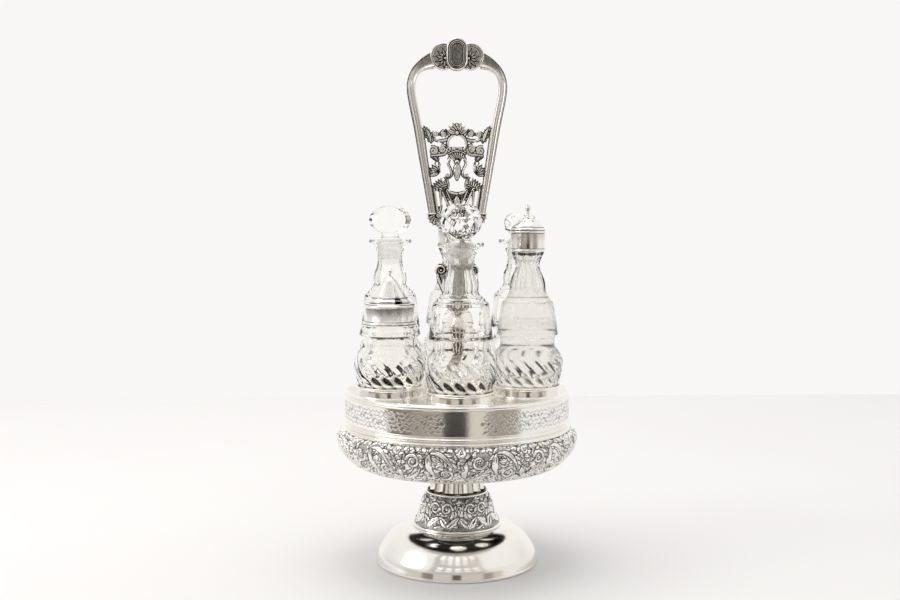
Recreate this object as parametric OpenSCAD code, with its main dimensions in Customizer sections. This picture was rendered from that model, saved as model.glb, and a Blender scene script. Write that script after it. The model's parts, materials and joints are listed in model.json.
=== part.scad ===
// Six-bottle table cruet set: a turning tray on a domed foot, with a tall openwork handle.
// Millimetres, +Z up. The origin is the middle of the foot's underside, and the handle
// stands in the XZ plane.

/* [Pedestal] */
// Radius of the domed foot at the table
foot_r = 63.7; // [60:0.5:68]
// Thickness of the spun and stamped sheet
sheet_t = 1.2; // [1:0.1:1.4]
// Radius of the collar at its top ring
collar_r = 24.6; // [24.2:0.1:26]
// Number of flutes round the neck
flute_count = 16; // [12:1:20]

/* [Tray] */
// Largest radius of the bulged gallery
gallery_r = 93.5; // [92:0.5:96]
// Radius of the engraved drum band
drum_r = 87.3; // [87:0.1:88]
// Height of the tray's deck above the table
deck_z = 136.4; // [136:0.1:137]
// Radius of the circle that the bottles stand on
bottle_circle_r = 60; // [59.5:0.1:60.2]

/* [Bottles] */
// Largest radius of a bottle's swirled body
body_r = 27; // [26:0.1:27.4]
// Height of the cruets' lips above the table
lip_z = 252.1; // [251:0.1:254]
// Running gap between a ground stopper and its neck
stopper_gap = 0.08; // [0.05:0.01:0.1]

/* [Handle] */
// Height of the whole object
handle_top_z = 406.7; // [404:0.1:409]
// Thickness of the handle's bars, front to back
bar_t = 6; // [5:0.1:6.4]
// Thickness of the openwork panel, front to back
panel_t = 3; // [2:0.1:4]

/* [Turning fit] */
// Radius of the tie rod
rod_r = 3.2; // [3:0.1:3.6]
// Running gap between the tie rod and the hub's bore
rod_gap = 0.07; // [0.03:0.01:0.1]

/* [Hidden] */

silver = [0.80, 0.79, 0.76];
dark_silver = [0.55, 0.54, 0.52];
brass = [0.72, 0.60, 0.34];
clear_glass = [0.86, 0.92, 0.92, 0.4];

// Directions of the six bottles round the tray, anticlockwise from +X
ANGLE_FRONT = -90;
ANGLE_RIGHT_FRONT = -30;
ANGLE_RIGHT_REAR = 30;
ANGLE_REAR = 90;
ANGLE_LEFT_REAR = 150;
ANGLE_LEFT_FRONT = 210;

foot_top_z = 28.8;
hub_top_z = 50;
neck_bottom_z = hub_top_z + 0.1;
collar_top_z = 57;
gallery_top_z = 106;
band_bottom_z = 114.3;
band_top_z = 132.4;
floor_bottom_z = 108;
floor_top_z = 110;
bottle_z = floor_top_z + 0.1;
ring_top_z = 144;
ring_hole_r = 23.9;
ring_r = 24.9;
ring_lip_r = 26;
deck_r = drum_r - 2.3;
deck_t = 1.5;
rod_bottom_z = 17;
rod_top_z = 152;
washer_t = 1.2;
nut_t = 5;

cap_bottom_z = 244.4;
cap_top_z = 270.2;
cap_r = 12.9;
mustard_rim_z = 190;
mustard_collar_top_z = 206;
lid_bottom_z = 206.4;
lid_top_z = 225.4;
lid_r = 15.2;
hinge_angle = 116;
hinge_reach = 19;
hinge_z = 208.2;
hinge_pin_r = 0.8;
hinge_gap = 0.05;
knuckle_r = 1.7;
knuckle_w = 3;

bar_end_z = 272;
bow_top_z = 397.6;
shell_disc_r = 10.4;
shell_x = 10.4;
shell_z = 392.6;
cartouche_half_w = 8.3;
cartouche_h = 25;

round_fn = 96;
fine_fn = 48;

// ---------- shared shapes ----------

// One point of a smooth curve through p, t of the way from p[i] to p[i + 1]
function curve_point(p, i, t) =
    let (a = p[max(i - 1, 0)], b = p[i], c = p[i + 1], d = p[min(i + 2, len(p) - 1)])
    0.5 * (2 * b + (c - a) * t + (2 * a - 5 * b + 4 * c - d) * t * t
        + (3 * b - a - 3 * c + d) * t * t * t);

// A smooth curve through the points p, with n steps between each two
function smooth(p, n = 4) = concat(
    [for (i = [0 : len(p) - 2]) for (k = [0 : n - 1]) curve_point(p, i, k / n)],
    [p[len(p) - 1]]);

function backwards(p) = [for (i = [len(p) - 1 : -1 : 0]) p[i]];

function flipped(p) = [for (q = p) [-q[0], q[1]]];

// The points p moved inwards and down by the thickness of a sheet
function inside(p, t) = [for (q = p) [q[0] - t, q[1] - t]];

function oval(cx, cz, rx, rz, n = 24) =
    [for (k = [0 : n - 1]) [cx + rx * cos(360 * k / n), cz + rz * sin(360 * k / n)]];

module revolve(p) {
    rotate_extrude($fn = round_fn) polygon(p);
}

module tube(outer_r, inner_r, z0, z1) {
    translate([0, 0, z0])
        difference() {
            cylinder(r = outer_r, h = z1 - z0, $fn = round_fn);
            translate([0, 0, -1]) cylinder(r = inner_r, h = z1 - z0 + 2, $fn = round_fn);
        }
}

// A flat shape drawn in X and Z, t thick and centred on the XZ plane
module standing(t) {
    rotate([90, 0, 0]) linear_extrude(height = t, center = true) children();
}

module at_bottle(angle) {
    rotate([0, 0, angle]) translate([bottle_circle_r, 0, 0]) rotate([0, 0, -angle]) children();
}

// ---------- pedestal ----------

foot_curve = smooth([[foot_r - 0.5, 4], [foot_r - 1.8, 9], [foot_r - 5.4, 14.8],
    [foot_r - 9, 19.6], [foot_r - 13.9, 24.2], [44, 27.2], [36.5, foot_top_z]]);

module foot() {
    color(silver)
        revolve(concat([[foot_r - 3, 0], [foot_r - 0.4, 0], [foot_r, 0.8], [foot_r, 1.6]],
            foot_curve, [[rod_r + 0.4, foot_top_z], [rod_r + 0.4, foot_top_z - sheet_t],
            [36, foot_top_z - sheet_t]],
            backwards(inside(foot_curve, sheet_t)), [[foot_r - 3, 1.5]]));
}

module bearing_hub() {
    color(brass) tube(12, rod_r + rod_gap, foot_top_z, hub_top_z);
}

collar_curve = smooth([[33.6, 31.4], [31.7, 34.5], [29, 38.9], [27.3, 46.4], [24, 54.4]]);

module stem_collar() {
    color(dark_silver)
        revolve(concat(collar_curve, backwards([for (q = collar_curve) [q[0] - sheet_t, q[1]]])));
}

module collar_bottom_ring() {
    color(silver)
        revolve([[32.2, foot_top_z], [34.6, foot_top_z], [35.2, 29.6], [35.2, 30.5],
            [34.6, 31.4], [32.2, 31.4]]);
}

module collar_top_ring() {
    color(silver)
        revolve([[collar_r - 1.8, 54.4], [collar_r - 0.5, 54.4], [collar_r, 55.2],
            [collar_r, 56.2], [collar_r - 0.5, collar_top_z], [collar_r - 1.8, collar_top_z]]);
}

// ---------- what turns: neck, rod and tray ----------

neck_curve = smooth([[21.2, neck_bottom_z], [21.8, 56], [20.6, 66], [19.6, 80], [20.4, 94],
    [26, floor_bottom_z - 2], [28, floor_bottom_z]]);

module neck() {
    flute_r = 2;
    color(silver)
        difference() {
            revolve(concat([[rod_r, neck_bottom_z]], neck_curve,
                [[17, floor_bottom_z], [17, neck_bottom_z + 2], [rod_r, neck_bottom_z + 2]]));
            for (i = [0 : flute_count - 1])
                rotate([0, 0, i * 360 / flute_count])
                    translate([22.4, 0, neck_bottom_z + 3])
                        cylinder(r = flute_r, h = 44, $fn = fine_fn);
        }
}

module tie_rod() {
    color(brass) translate([0, 0, rod_bottom_z])
        cylinder(r = rod_r, h = rod_top_z - rod_bottom_z, $fn = fine_fn);
}

washer_top_z = foot_top_z - sheet_t - 0.1;

module base_washer() {
    color(brass) tube(9, rod_r, washer_top_z - washer_t, washer_top_z);
}

module base_nut() {
    color(brass)
        difference() {
            translate([0, 0, washer_top_z - washer_t - nut_t]) cylinder(r = 7, h = nut_t, $fn = 6);
            translate([0, 0, rod_bottom_z]) cylinder(r = rod_r, h = 20, $fn = fine_fn);
        }
}

// The gallery is a stamped shell, open underneath, that bulges out beyond the drum
gallery_curve = smooth([[77, 78.6], [80, 80.2], [84.6, 83.8], [89.2, 88.8],
    [gallery_r - 1, 94.2], [gallery_r, 100.4], [91.6, 104.4], [88, gallery_top_z]]);

module gallery() {
    color(dark_silver)
        revolve(concat(gallery_curve,
            backwards([for (q = gallery_curve) [q[0] - 1.5, max(q[1], 78.6)]])));
}

// Beaded base moulding of the drum: a broad bead, a fillet and a narrow bead
module drum_moulding() {
    inner_r = drum_r - 1.6;
    color(silver)
        revolve(concat([[inner_r, gallery_top_z]],
            smooth([[drum_r + 0.2, gallery_top_z], [drum_r + 1.3, gallery_top_z + 1.8],
                [drum_r + 0.4, gallery_top_z + 3.6]]),
            smooth([[drum_r + 0.1, gallery_top_z + 4], [drum_r + 0.9, gallery_top_z + 5.6],
                [drum_r + 0.2, gallery_top_z + 7]]),
            [[drum_r, band_bottom_z], [inner_r, band_bottom_z]]));
}

module drum_band() {
    color(silver) tube(drum_r, drum_r - sheet_t, band_bottom_z, band_top_z);
}

module drum_rim() {
    color(silver)
        revolve(concat([[deck_r, band_top_z]],
            smooth([[drum_r, band_top_z], [drum_r - 0.3, 134.2], [drum_r - 1.1, 135.5],
                [deck_r, deck_z]])));
}

module bottle_floor() {
    seat_hole_r = 18;
    color(silver)
        difference() {
            tube(drum_r - 1.7, rod_r, floor_bottom_z, floor_top_z);
            for (a = [0 : 5])
                at_bottle(a * 60 + 30)
                    translate([0, 0, floor_bottom_z - 1])
                        cylinder(r = seat_hole_r, h = 5, $fn = round_fn);
        }
}

module deck() {
    color(silver)
        difference() {
            tube(deck_r, rod_r, deck_z - deck_t, deck_z);
            for (a = [0 : 5])
                at_bottle(a * 60 + 30)
                    translate([0, 0, deck_z - deck_t - 1])
                        cylinder(r = ring_hole_r, h = deck_t + 2, $fn = round_fn);
        }
}

module centre_spacer() {
    color(brass) tube(6, rod_r, floor_top_z, deck_z - deck_t);
}

module bottle_ring(angle) {
    color(silver)
        at_bottle(angle)
            revolve([[ring_hole_r, deck_z], [ring_r, deck_z], [ring_r, ring_top_z - 1.8],
                [ring_lip_r - 0.2, ring_top_z - 1.6], [ring_lip_r, ring_top_z - 0.8],
                [ring_lip_r - 0.5, ring_top_z], [ring_hole_r + 0.3, ring_top_z],
                [ring_hole_r, ring_top_z - 0.4]]);
}

module ring_front() { bottle_ring(ANGLE_FRONT); }
module ring_right_front() { bottle_ring(ANGLE_RIGHT_FRONT); }
module ring_right_rear() { bottle_ring(ANGLE_RIGHT_REAR); }
module ring_rear() { bottle_ring(ANGLE_REAR); }
module ring_left_rear() { bottle_ring(ANGLE_LEFT_REAR); }
module ring_left_front() { bottle_ring(ANGLE_LEFT_FRONT); }

// ---------- handle ----------

post_top_z = 205;
volute_z = 229;
volute_r = 5;
volute_x = 12.5;
yoke_bottom_z = 234;
yoke_top_z = 266;

module handle_post() {
    color(silver)
        revolve(concat([[rod_r, deck_z]],
            smooth([[13, deck_z], [13, deck_z + 1.8], [9.5, deck_z + 4.4], [6.4, 147], [5.4, 160],
                [7.6, 173], [9.2, 182], [6.6, 191], [5, 198], [7.4, 203], [7.4, post_top_z]]),
            [[0, post_top_z], [0, rod_top_z], [rod_r, rod_top_z]]));
}

// The lyre-shaped piece above the post, with a rolled volute at each shoulder
module handle_volutes() {
    lyre_side = smooth([[6, post_top_z], [10.4, 206.6], [13.6, 212], [16.2, 220],
        [volute_x + 4, 227]]);
    color(silver)
        standing(7)
            union() {
                polygon(concat(lyre_side, [[6, yoke_bottom_z], [-6, yoke_bottom_z]],
                    backwards(flipped(lyre_side))));
                for (side = [-1, 1])
                    translate([side * volute_x, volute_z]) circle(r = volute_r, $fn = fine_fn);
            }
}

module handle_yoke() {
    yoke_side = smooth([[6, yoke_bottom_z], [6.8, 239], [5, 246], [6, 253], [12, 259.5],
        [15.8, yoke_top_z]]);
    color(silver)
        standing(6) polygon(concat(yoke_side, backwards(flipped(yoke_side))));
}

bow_outer = smooth([[21.8, bar_end_z], [29.2, 314], [33.3, 338], [37.4, 358.5], [38.6, 368],
    [38.1, 374.6], [36, 380.8], [32.7, 385.9], [27, 391.4], [20.6, 395.6], [13, bow_top_z],
    [0, bow_top_z]], 3);
bow_inner = smooth([[16.8, bar_end_z], [23.2, 314], [27, 340], [30.4, 357], [31.9, 366],
    [31.8, 372.5], [29.8, 378], [25.4, 381.4], [19, 382.8], [14, 383.2], [0, 383.2]], 3);

module frame_half(side) {
    half = concat(bow_outer, backwards(bow_inner));
    polygon([for (q = half) [side * q[0], q[1]]]);
}

module both_bars(t) {
    for (side = [-1, 1])
        standing(t) frame_half(side);
}

module shell_disc(side) {
    translate([side * shell_x, 0, shell_z])
        rotate([90, 0, 0]) cylinder(r = shell_disc_r, h = 5, center = true, $fn = round_fn);
}

module cartouche_outline(half_w, h) {
    middle_z = handle_top_z - cartouche_h / 2;
    straight = h / 2 - half_w;
    translate([-half_w, middle_z - straight]) square([2 * half_w, 2 * straight]);
    for (side = [-1, 1])
        translate([0, middle_z + side * straight]) circle(r = half_w, $fn = fine_fn);
}

module cartouche_block(t) {
    standing(t) cartouche_outline(cartouche_half_w, cartouche_h);
}

// One half of the bow: it meets its shell disc and the cartouche edge to edge
module handle_bar(side) {
    color(silver)
        difference() {
            standing(bar_t) frame_half(side);
            cartouche_block(bar_t + 2);
            translate([side * shell_x, 0, shell_z])
                rotate([90, 0, 0])
                    cylinder(r = shell_disc_r, h = bar_t + 2, center = true, $fn = round_fn);
        }
}

module handle_bar_left() { handle_bar(-1); }
module handle_bar_right() { handle_bar(1); }

// Openwork between the bars: a top shell, a ring, side openings and a lower window
module handle_panel() {
    panel_side = [[17, bar_end_z], [23.6, 314], [27, 339], [25.8, 340.4], [22.6, 336],
        [18, 330.5], [11, 335.5], [6, 333.5]];
    color(dark_silver)
        difference() {
            standing(panel_t)
                difference() {
                    union() {
                        polygon(concat(panel_side, backwards(flipped(panel_side))));
                        translate([0, 337.6]) circle(r = 5.4, $fn = fine_fn);
                    }
                    translate([0, 326.5]) circle(r = 5, $fn = fine_fn);
                    polygon([[-7, 291.5], [7, 291.5], [5.4, 299], [2.6, 303], [-2.6, 303],
                        [-5.4, 299]]);
                    for (side = [-1, 1]) {
                        polygon(oval(side * 10.2, 308, 2.4, 7));
                        polygon(oval(side * 4.6, 313.4, 1.6, 2.4));
                        polygon([[side * 3.4, 276], [side * 8.4, 276], [side * 11.2, 286],
                            [side * 9.6, 287.4]]);
                        polygon([[side * 12.6, 278.4], [side * 15.2, 278.4],
                            [side * 16.8, 289.4], [side * 15.4, 290.8], [side * 13.8, 289.4]]);
                        translate([side * 18.2, 313.6]) circle(r = 1.9, $fn = fine_fn);
                        translate([side * 13.4, 327]) circle(r = 1.6, $fn = fine_fn);
                    }
                }
            both_bars(bar_t + 2);
        }
}

module cartouche() {
    recess_depth = 0.8;
    color(dark_silver)
        difference() {
            cartouche_block(bar_t + 1);
            for (side = [-1, 1])
                translate([0, side * (bar_t + 1) / 2, 0])
                    standing(2 * recess_depth) cartouche_outline(5.3, 18.6);
        }
}

module shell(side) {
    color(dark_silver)
        difference() {
            shell_disc(side);
            cartouche_block(bar_t + 2);
        }
}

module shell_left() { shell(-1); }
module shell_right() { shell(1); }

// A palmette caps each bar's lower end: five lobes round a boss
module palmette(side) {
    boss_x = side * 18.2;
    boss_z = 269;
    lobe_r = 1.9;
    reach = 5;
    color(dark_silver)
        difference() {
            standing(5)
                union() {
                    translate([boss_x, boss_z]) circle(r = 4.6, $fn = fine_fn);
                    for (lobe = [0 : 4])
                        translate([boss_x + side * reach * cos(lobe * 36 - 90),
                            boss_z + reach * sin(lobe * 36 - 90)])
                            circle(r = lobe_r, $fn = fine_fn);
                }
            both_bars(bar_t + 2);
            handle_yoke();
            translate([0, 0, bar_end_z + 10]) cube([60, 20, 20], center = true);
        }
}

module palmette_left() { palmette(-1); }
module palmette_right() { palmette(1); }

// ---------- bottles ----------

// All six bottles share this lower body: a straight seat, a swirled bulge and a waist
lower_body = smooth([[21.6, bottle_z], [22.6, bottle_z + 1.6], [22.7, 124], [22.6, 139],
    [23.3, 144.2], [24.8, 147.5], [body_r - 1, 153.6], [body_r, 159.4], [body_r - 0.7, 164.6],
    [23.9, 169.3], [20.8, 173.4], [20.6, 178], [21.4, 181]], 3);
lower_cavity = smooth([[0, 116], [18.6, 117], [19.8, 122], [19.8, 143], [23.2, 153],
    [23.6, 161], [20.6, 167.6], [17.6, 172.4], [17.4, 179]], 3);
cone_edge_z = 182.4;
cone_top_z = 208.1;
neck_bore_r = 7.5;
mouth_bore_r = 7.9;
shank_bottom_z = 236;

module cruet(angle) {
    color(clear_glass)
        at_bottle(angle)
            revolve(concat(lower_body,
                [[23.4, cone_edge_z], [20.4, cone_top_z]],
                smooth([[17.4, 211.7], [13.4, 216], [13.7, 220.5], [13, 225], [11.2, 228.8],
                    [10.1, 234], [10.4, 240.6], [12.8, 246.4], [13.7, lip_z - 3.3]], 3),
                [[16.4, lip_z - 2.9], [17, lip_z - 1.6], [16.4, lip_z], [mouth_bore_r, lip_z],
                [neck_bore_r, shank_bottom_z], [neck_bore_r, 229], [9.4, 221], [9.4, 216.6],
                [14, 210.4], [17, 206], [19.6, 184.6]],
                backwards(lower_cavity)));
}

module cruet_front() { cruet(ANGLE_FRONT); }
module cruet_left() { cruet(ANGLE_LEFT_REAR); }
module cruet_right() { cruet(ANGLE_RIGHT_REAR); }

// The ground shank tapers like the neck and stops just short of the lip's top face
shank = [[0, shank_bottom_z + 0.5], [neck_bore_r - stopper_gap - 0.4, shank_bottom_z + 0.5],
    [neck_bore_r - stopper_gap, shank_bottom_z + 1], [mouth_bore_r - stopper_gap, lip_z],
    [mouth_bore_r - stopper_gap, lip_z + 1.4]];

module stopper_front() {
    color(clear_glass)
        at_bottle(ANGLE_FRONT)
            revolve(concat(shank, [[6.6, 255], [12.2, 259], [14.3, 264.5], [14.8, 270.6],
                [11.2, 276], [6.6, 278.6], [0, 280]]));
}

// A thick lens-shaped head, turned to face between the front and the right
module stopper_left() {
    color(clear_glass)
        at_bottle(ANGLE_LEFT_REAR) {
            revolve(concat(shank, [[6.4, 256.5], [6.4, 262], [0, 262]]));
            translate([0, 0, 267.3])
                rotate([0, 0, 28]) scale([17.6, 9.4, 11.3]) sphere(r = 1, $fn = 32);
        }
}

// A square block head with its edges cut away
module stopper_right() {
    half = 10.6;
    head_bottom_z = 256;
    head_top_z = 272.6;
    color(clear_glass)
        at_bottle(ANGLE_RIGHT_REAR) {
            revolve(concat(shank, [[6.4, head_bottom_z + 1], [0, head_bottom_z + 1]]));
            intersection() {
                translate([-half, -half, head_bottom_z])
                    cube([2 * half, 2 * half, head_top_z - head_bottom_z]);
                revolve([[0, head_bottom_z], [8, head_bottom_z], [13.6, 260.4], [13.6, 268.4],
                    [9.2, head_top_z], [0, head_top_z]]);
            }
        }
}

module shaker(angle) {
    neck_r = 11.3;
    color(clear_glass)
        at_bottle(angle)
            revolve(concat(lower_body,
                [[22.9, cone_edge_z], [19.4, 206.4]],
                smooth([[15.6, 210.6], [13.9, 215.6], [13.4, 221], [11.8, 226], [9.2, 232],
                    [9.4, 236.4], [12.2, 243.2], [12.4, 244]], 3),
                [[neck_r, 244], [neck_r, 257.4], [8.6, 257.4], [neck_bore_r, 238],
                [6.6, 233], [6.8, 230], [9.6, 220], [10.4, 215], [12.4, 210.8],
                [16.2, 205.4], [19.4, 184.6]],
                backwards(lower_cavity)));
}

module shaker_front() { shaker(ANGLE_RIGHT_FRONT); }
module shaker_rear() { shaker(ANGLE_REAR); }

// Screw cap: a beaded band and cornice under a pierced dome
module shaker_cap(angle) {
    cap_inner_r = cap_r - 1.1;
    color(silver)
        at_bottle(angle)
            difference() {
                revolve(concat([[cap_inner_r, cap_bottom_z], [cap_r, cap_bottom_z],
                    [cap_r + 0.6, cap_bottom_z + 0.8], [cap_r + 0.6, cap_bottom_z + 1.7],
                    [cap_r, cap_bottom_z + 2.6], [cap_r, 258.8], [cap_r + 0.4, 259.6],
                    [cap_r + 0.4, 262], [12.4, 262.6]],
                    smooth([[12.2, 263.2], [10.5, 265], [7.6, 267.4], [4.8, 269.2],
                        [2.8, cap_top_z]]),
                    [[0, cap_top_z], [0, 268.2], [4, 267.4], [6.8, 265.7], [9.9, 263],
                    [cap_inner_r, 260]]));
                for (row = [0, 1])
                    for (i = [0 : 7])
                        rotate([0, 0, (i + row / 2) * 45])
                            translate([6 + 2.6 * row, 0, 262])
                                cylinder(r = 0.6, h = 12, $fn = 24);
            }
}

module shaker_cap_front() { shaker_cap(ANGLE_RIGHT_FRONT); }
module shaker_cap_rear() { shaker_cap(ANGLE_REAR); }

module cap_finial(angle) {
    color(silver)
        at_bottle(angle)
            revolve(concat([[0, cap_top_z]], smooth([[2.3, cap_top_z], [1.3, 272], [2.1, 274.6],
                [1.8, 277.2], [0.8, 279.6], [0, 280.8]])));
}

module cap_finial_front() { cap_finial(ANGLE_RIGHT_FRONT); }
module cap_finial_rear() { cap_finial(ANGLE_REAR); }

// ---------- mustard pot ----------

mustard_neck_r = 17;

module mustard_jar() {
    color(clear_glass)
        at_bottle(ANGLE_LEFT_FRONT)
            revolve(concat(lower_body,
                [[22.9, cone_edge_z], [21, mustard_rim_z], [mustard_neck_r, mustard_rim_z],
                [mustard_neck_r, 203.6], [14.2, 203.6], [14.2, 192], [18.6, 186]],
                backwards(lower_cavity)));
}

module at_hinge() {
    at_bottle(ANGLE_LEFT_FRONT)
        rotate([0, 0, hinge_angle]) translate([hinge_reach, 0, hinge_z]) children();
}

// A knuckle centred a distance "along" the hinge line
module knuckle(along, bore_r) {
    translate([0, along, 0])
        rotate([90, 0, 0])
            difference() {
                cylinder(r = knuckle_r, h = knuckle_w - 0.3, center = true, $fn = fine_fn);
                cylinder(r = bore_r, h = knuckle_w + 1, center = true, $fn = fine_fn);
            }
}

module mustard_collar() {
    fit_r = mustard_neck_r + 0.1;
    color(silver)
        difference() {
            union() {
                at_bottle(ANGLE_LEFT_FRONT)
                    revolve([[fit_r, mustard_rim_z], [19.6, mustard_rim_z], [20.5, 190.8],
                        [20.5, 191.9], [19.4, 192.8], [18.2, 193.4], [18.2, 202.2], [19.1, 202.9],
                        [19.4, 203.8], [19, 204.9], [18, mustard_collar_top_z],
                        [14.4, mustard_collar_top_z], [14.4, 204.6], [fit_r, 203.8]]);
                at_hinge()
                    for (side = [-1, 1])
                        translate([-0.8, side * knuckle_w, -1.9])
                            cube([2.2, knuckle_w - 0.3, 2.6], center = true);
                at_hinge()
                    for (side = [-1, 1]) knuckle(side * knuckle_w, hinge_pin_r);
            }
            at_hinge() rotate([90, 0, 0])
                cylinder(r = hinge_pin_r, h = 3 * knuckle_w + 2, center = true, $fn = fine_fn);
        }
}

module mustard_lid() {
    notch_r = 3;
    bore_r = hinge_pin_r + hinge_gap;
    color(silver)
        union() {
            difference() {
                union() {
                    at_bottle(ANGLE_LEFT_FRONT)
                        revolve(concat([[lid_r - 1, lid_bottom_z], [lid_r, lid_bottom_z],
                            [lid_r, 208.4], [14, 209.4]],
                            smooth([[13.4, 210.2], [11.5, 213], [9.2, 216.6], [6.8, 220.4],
                                [4.6, 223.4], [2.6, lid_top_z]]),
                            [[0, lid_top_z], [0, 223.2], [2.8, 222.8], [5.4, 219.6], [8, 215.4],
                            [10.6, 211.4], [12.4, 209.2], [lid_r - 1, 208]]));
                    at_hinge()
                        translate([-hinge_reach + lid_r - 0.6, -1.2, -0.9])
                            cube([hinge_reach - lid_r + 0.2, 2.4, 1.5]);
                }
                at_hinge() rotate([90, 0, 0])
                    cylinder(r = bore_r, h = 20, center = true, $fn = fine_fn);
                at_bottle(ANGLE_LEFT_FRONT)
                    rotate([0, 0, hinge_angle + 180])
                        translate([lid_r, 0, lid_bottom_z - 1])
                            cylinder(r = notch_r, h = 8, $fn = fine_fn);
            }
            at_hinge() knuckle(0, bore_r);
        }
}

module lid_finial() {
    color(silver)
        at_bottle(ANGLE_LEFT_FRONT)
            revolve(concat([[0, lid_top_z]], smooth([[2.2, lid_top_z], [1.3, 226.6], [2, 228.6],
                [1.8, 230.2], [0.9, 231.6], [0, 232.2]])));
}

module lid_hinge_pin() {
    color(silver)
        at_hinge() rotate([90, 0, 0])
            cylinder(r = hinge_pin_r, h = 3 * knuckle_w, center = true, $fn = fine_fn);
}

// ---------- nodes ----------

foot();
bearing_hub();
stem_collar();
collar_bottom_ring();
collar_top_ring();
neck();
tie_rod();
base_washer();
base_nut();
gallery();
drum_moulding();
drum_band();
drum_rim();
bottle_floor();
deck();
centre_spacer();
ring_front();
ring_right_front();
ring_right_rear();
ring_rear();
ring_left_rear();
ring_left_front();
handle_post();
handle_volutes();
handle_yoke();
handle_bar_left();
handle_bar_right();
handle_panel();
cartouche();
shell_left();
shell_right();
palmette_left();
palmette_right();
cruet_front();
cruet_left();
cruet_right();
stopper_front();
stopper_left();
stopper_right();
shaker_front();
shaker_rear();
shaker_cap_front();
shaker_cap_rear();
cap_finial_front();
cap_finial_rear();
mustard_jar();
mustard_collar();
mustard_lid();
lid_finial();
lid_hinge_pin();
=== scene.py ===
"""Looks of the six-bottle cruet set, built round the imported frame. Shapes are in millimetres."""
import json
import math

import bmesh
import bpy
import numpy as np
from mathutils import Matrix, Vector


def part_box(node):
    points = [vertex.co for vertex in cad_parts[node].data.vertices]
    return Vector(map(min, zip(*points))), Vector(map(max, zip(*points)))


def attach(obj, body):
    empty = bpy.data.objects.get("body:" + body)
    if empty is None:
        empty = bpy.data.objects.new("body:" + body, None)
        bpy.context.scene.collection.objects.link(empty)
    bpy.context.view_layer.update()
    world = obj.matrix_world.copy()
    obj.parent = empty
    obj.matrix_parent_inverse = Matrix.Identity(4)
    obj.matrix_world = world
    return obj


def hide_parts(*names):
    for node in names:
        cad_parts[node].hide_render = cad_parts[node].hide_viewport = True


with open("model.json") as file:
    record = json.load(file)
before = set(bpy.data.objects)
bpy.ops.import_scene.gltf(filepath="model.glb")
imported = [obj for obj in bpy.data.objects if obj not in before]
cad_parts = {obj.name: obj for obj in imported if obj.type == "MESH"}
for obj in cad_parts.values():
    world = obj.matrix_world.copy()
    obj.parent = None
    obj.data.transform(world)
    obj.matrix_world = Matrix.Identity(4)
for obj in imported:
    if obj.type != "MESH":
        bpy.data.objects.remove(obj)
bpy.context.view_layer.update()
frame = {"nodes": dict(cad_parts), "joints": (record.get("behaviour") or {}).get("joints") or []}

MM = 0.001
TURN = 2 * math.pi
FRONT = -TURN / 4


def box_mm(node):
    """Lowest and highest corner of a CAD node, in millimetres."""
    low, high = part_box(node)
    return np.array(low) / MM, np.array(high) / MM


# ---------------------------------------------------------------- curves


def curve(points, steps=8):
    """A smooth curve through a few points."""
    p = np.array([points[0], *points, points[-1]], float)
    t = (np.arange(steps) / steps)[:, None]
    parts = []
    for a, b, c, d in zip(p, p[1:], p[2:], p[3:]):
        linear, square, cube = c - a, 2 * a - 5 * b + 4 * c - d, 3 * b - a - 3 * c + d
        parts.append(0.5 * (2 * b + linear * t + square * t**2 + cube * t**3))
    return np.vstack([*parts, p[-1:]])


def chain(*parts):
    """One outline from several, in order."""
    return np.vstack([np.atleast_2d(np.array(p, float)) for p in parts])


def evenly(path, count):
    """The path again, as count points at even spacing."""
    length = np.concatenate([[0], np.cumsum(np.linalg.norm(np.diff(path, axis=0), axis=1))])
    at = np.linspace(0, length[-1], count)
    return np.column_stack([np.interp(at, length, path[:, k]) for k in range(path.shape[1])])


def outward(profile):
    """Unit normals of an (r, z) profile that runs upwards on the outside."""
    d = np.gradient(profile, axis=0)
    n = np.column_stack([d[:, 1], -d[:, 0]])
    return n / np.maximum(np.linalg.norm(n, axis=1, keepdims=True), 1e-9)


def shell(profile, thickness):
    """Closed profile of a sheet whose outside is profile."""
    return chain(profile, (profile - outward(profile) * thickness)[::-1])


def arc(centre, radius, start, end, count=20):
    a = np.radians(np.linspace(start, end, count))
    return np.column_stack([centre[0] + radius * np.cos(a), centre[1] + radius * np.sin(a)])


def bend(a, b, c, count=16):
    """A curve from a to c, drawn towards b."""
    a, b, c = (np.array(p, float) for p in (a, b, c))
    t = np.linspace(0, 1, count)[:, None]
    return (1 - t) ** 2 * a + 2 * t * (1 - t) * b + t**2 * c


def spiral(centre, radius, turns, start, hand=1, inner=0.2):
    """A scroll that winds in from radius. start is in degrees and hand is 1 for anticlockwise."""
    t = np.linspace(0, 1, int(26 * turns) + 2)
    a = math.radians(start) + hand * TURN * turns * t
    r = radius * (1 - (1 - inner) * t**0.8)
    return np.column_stack([centre[0] + r * np.cos(a), centre[1] + r * np.sin(a)])


def smooth_step(x, low, high):
    t = np.clip((x - low) / (high - low), 0, 1)
    return t * t * (3 - 2 * t)


# ---------------------------------------------------------------- meshes


def signed_volume(points, faces):
    total = 0.0
    for f in faces:
        for k in range(1, f.shape[1] - 1):
            a, b, c = points[f[:, 0]], points[f[:, k]], points[f[:, k + 1]]
            total += np.einsum("ij,ij->", a, np.cross(b, c))
    return total


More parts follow.
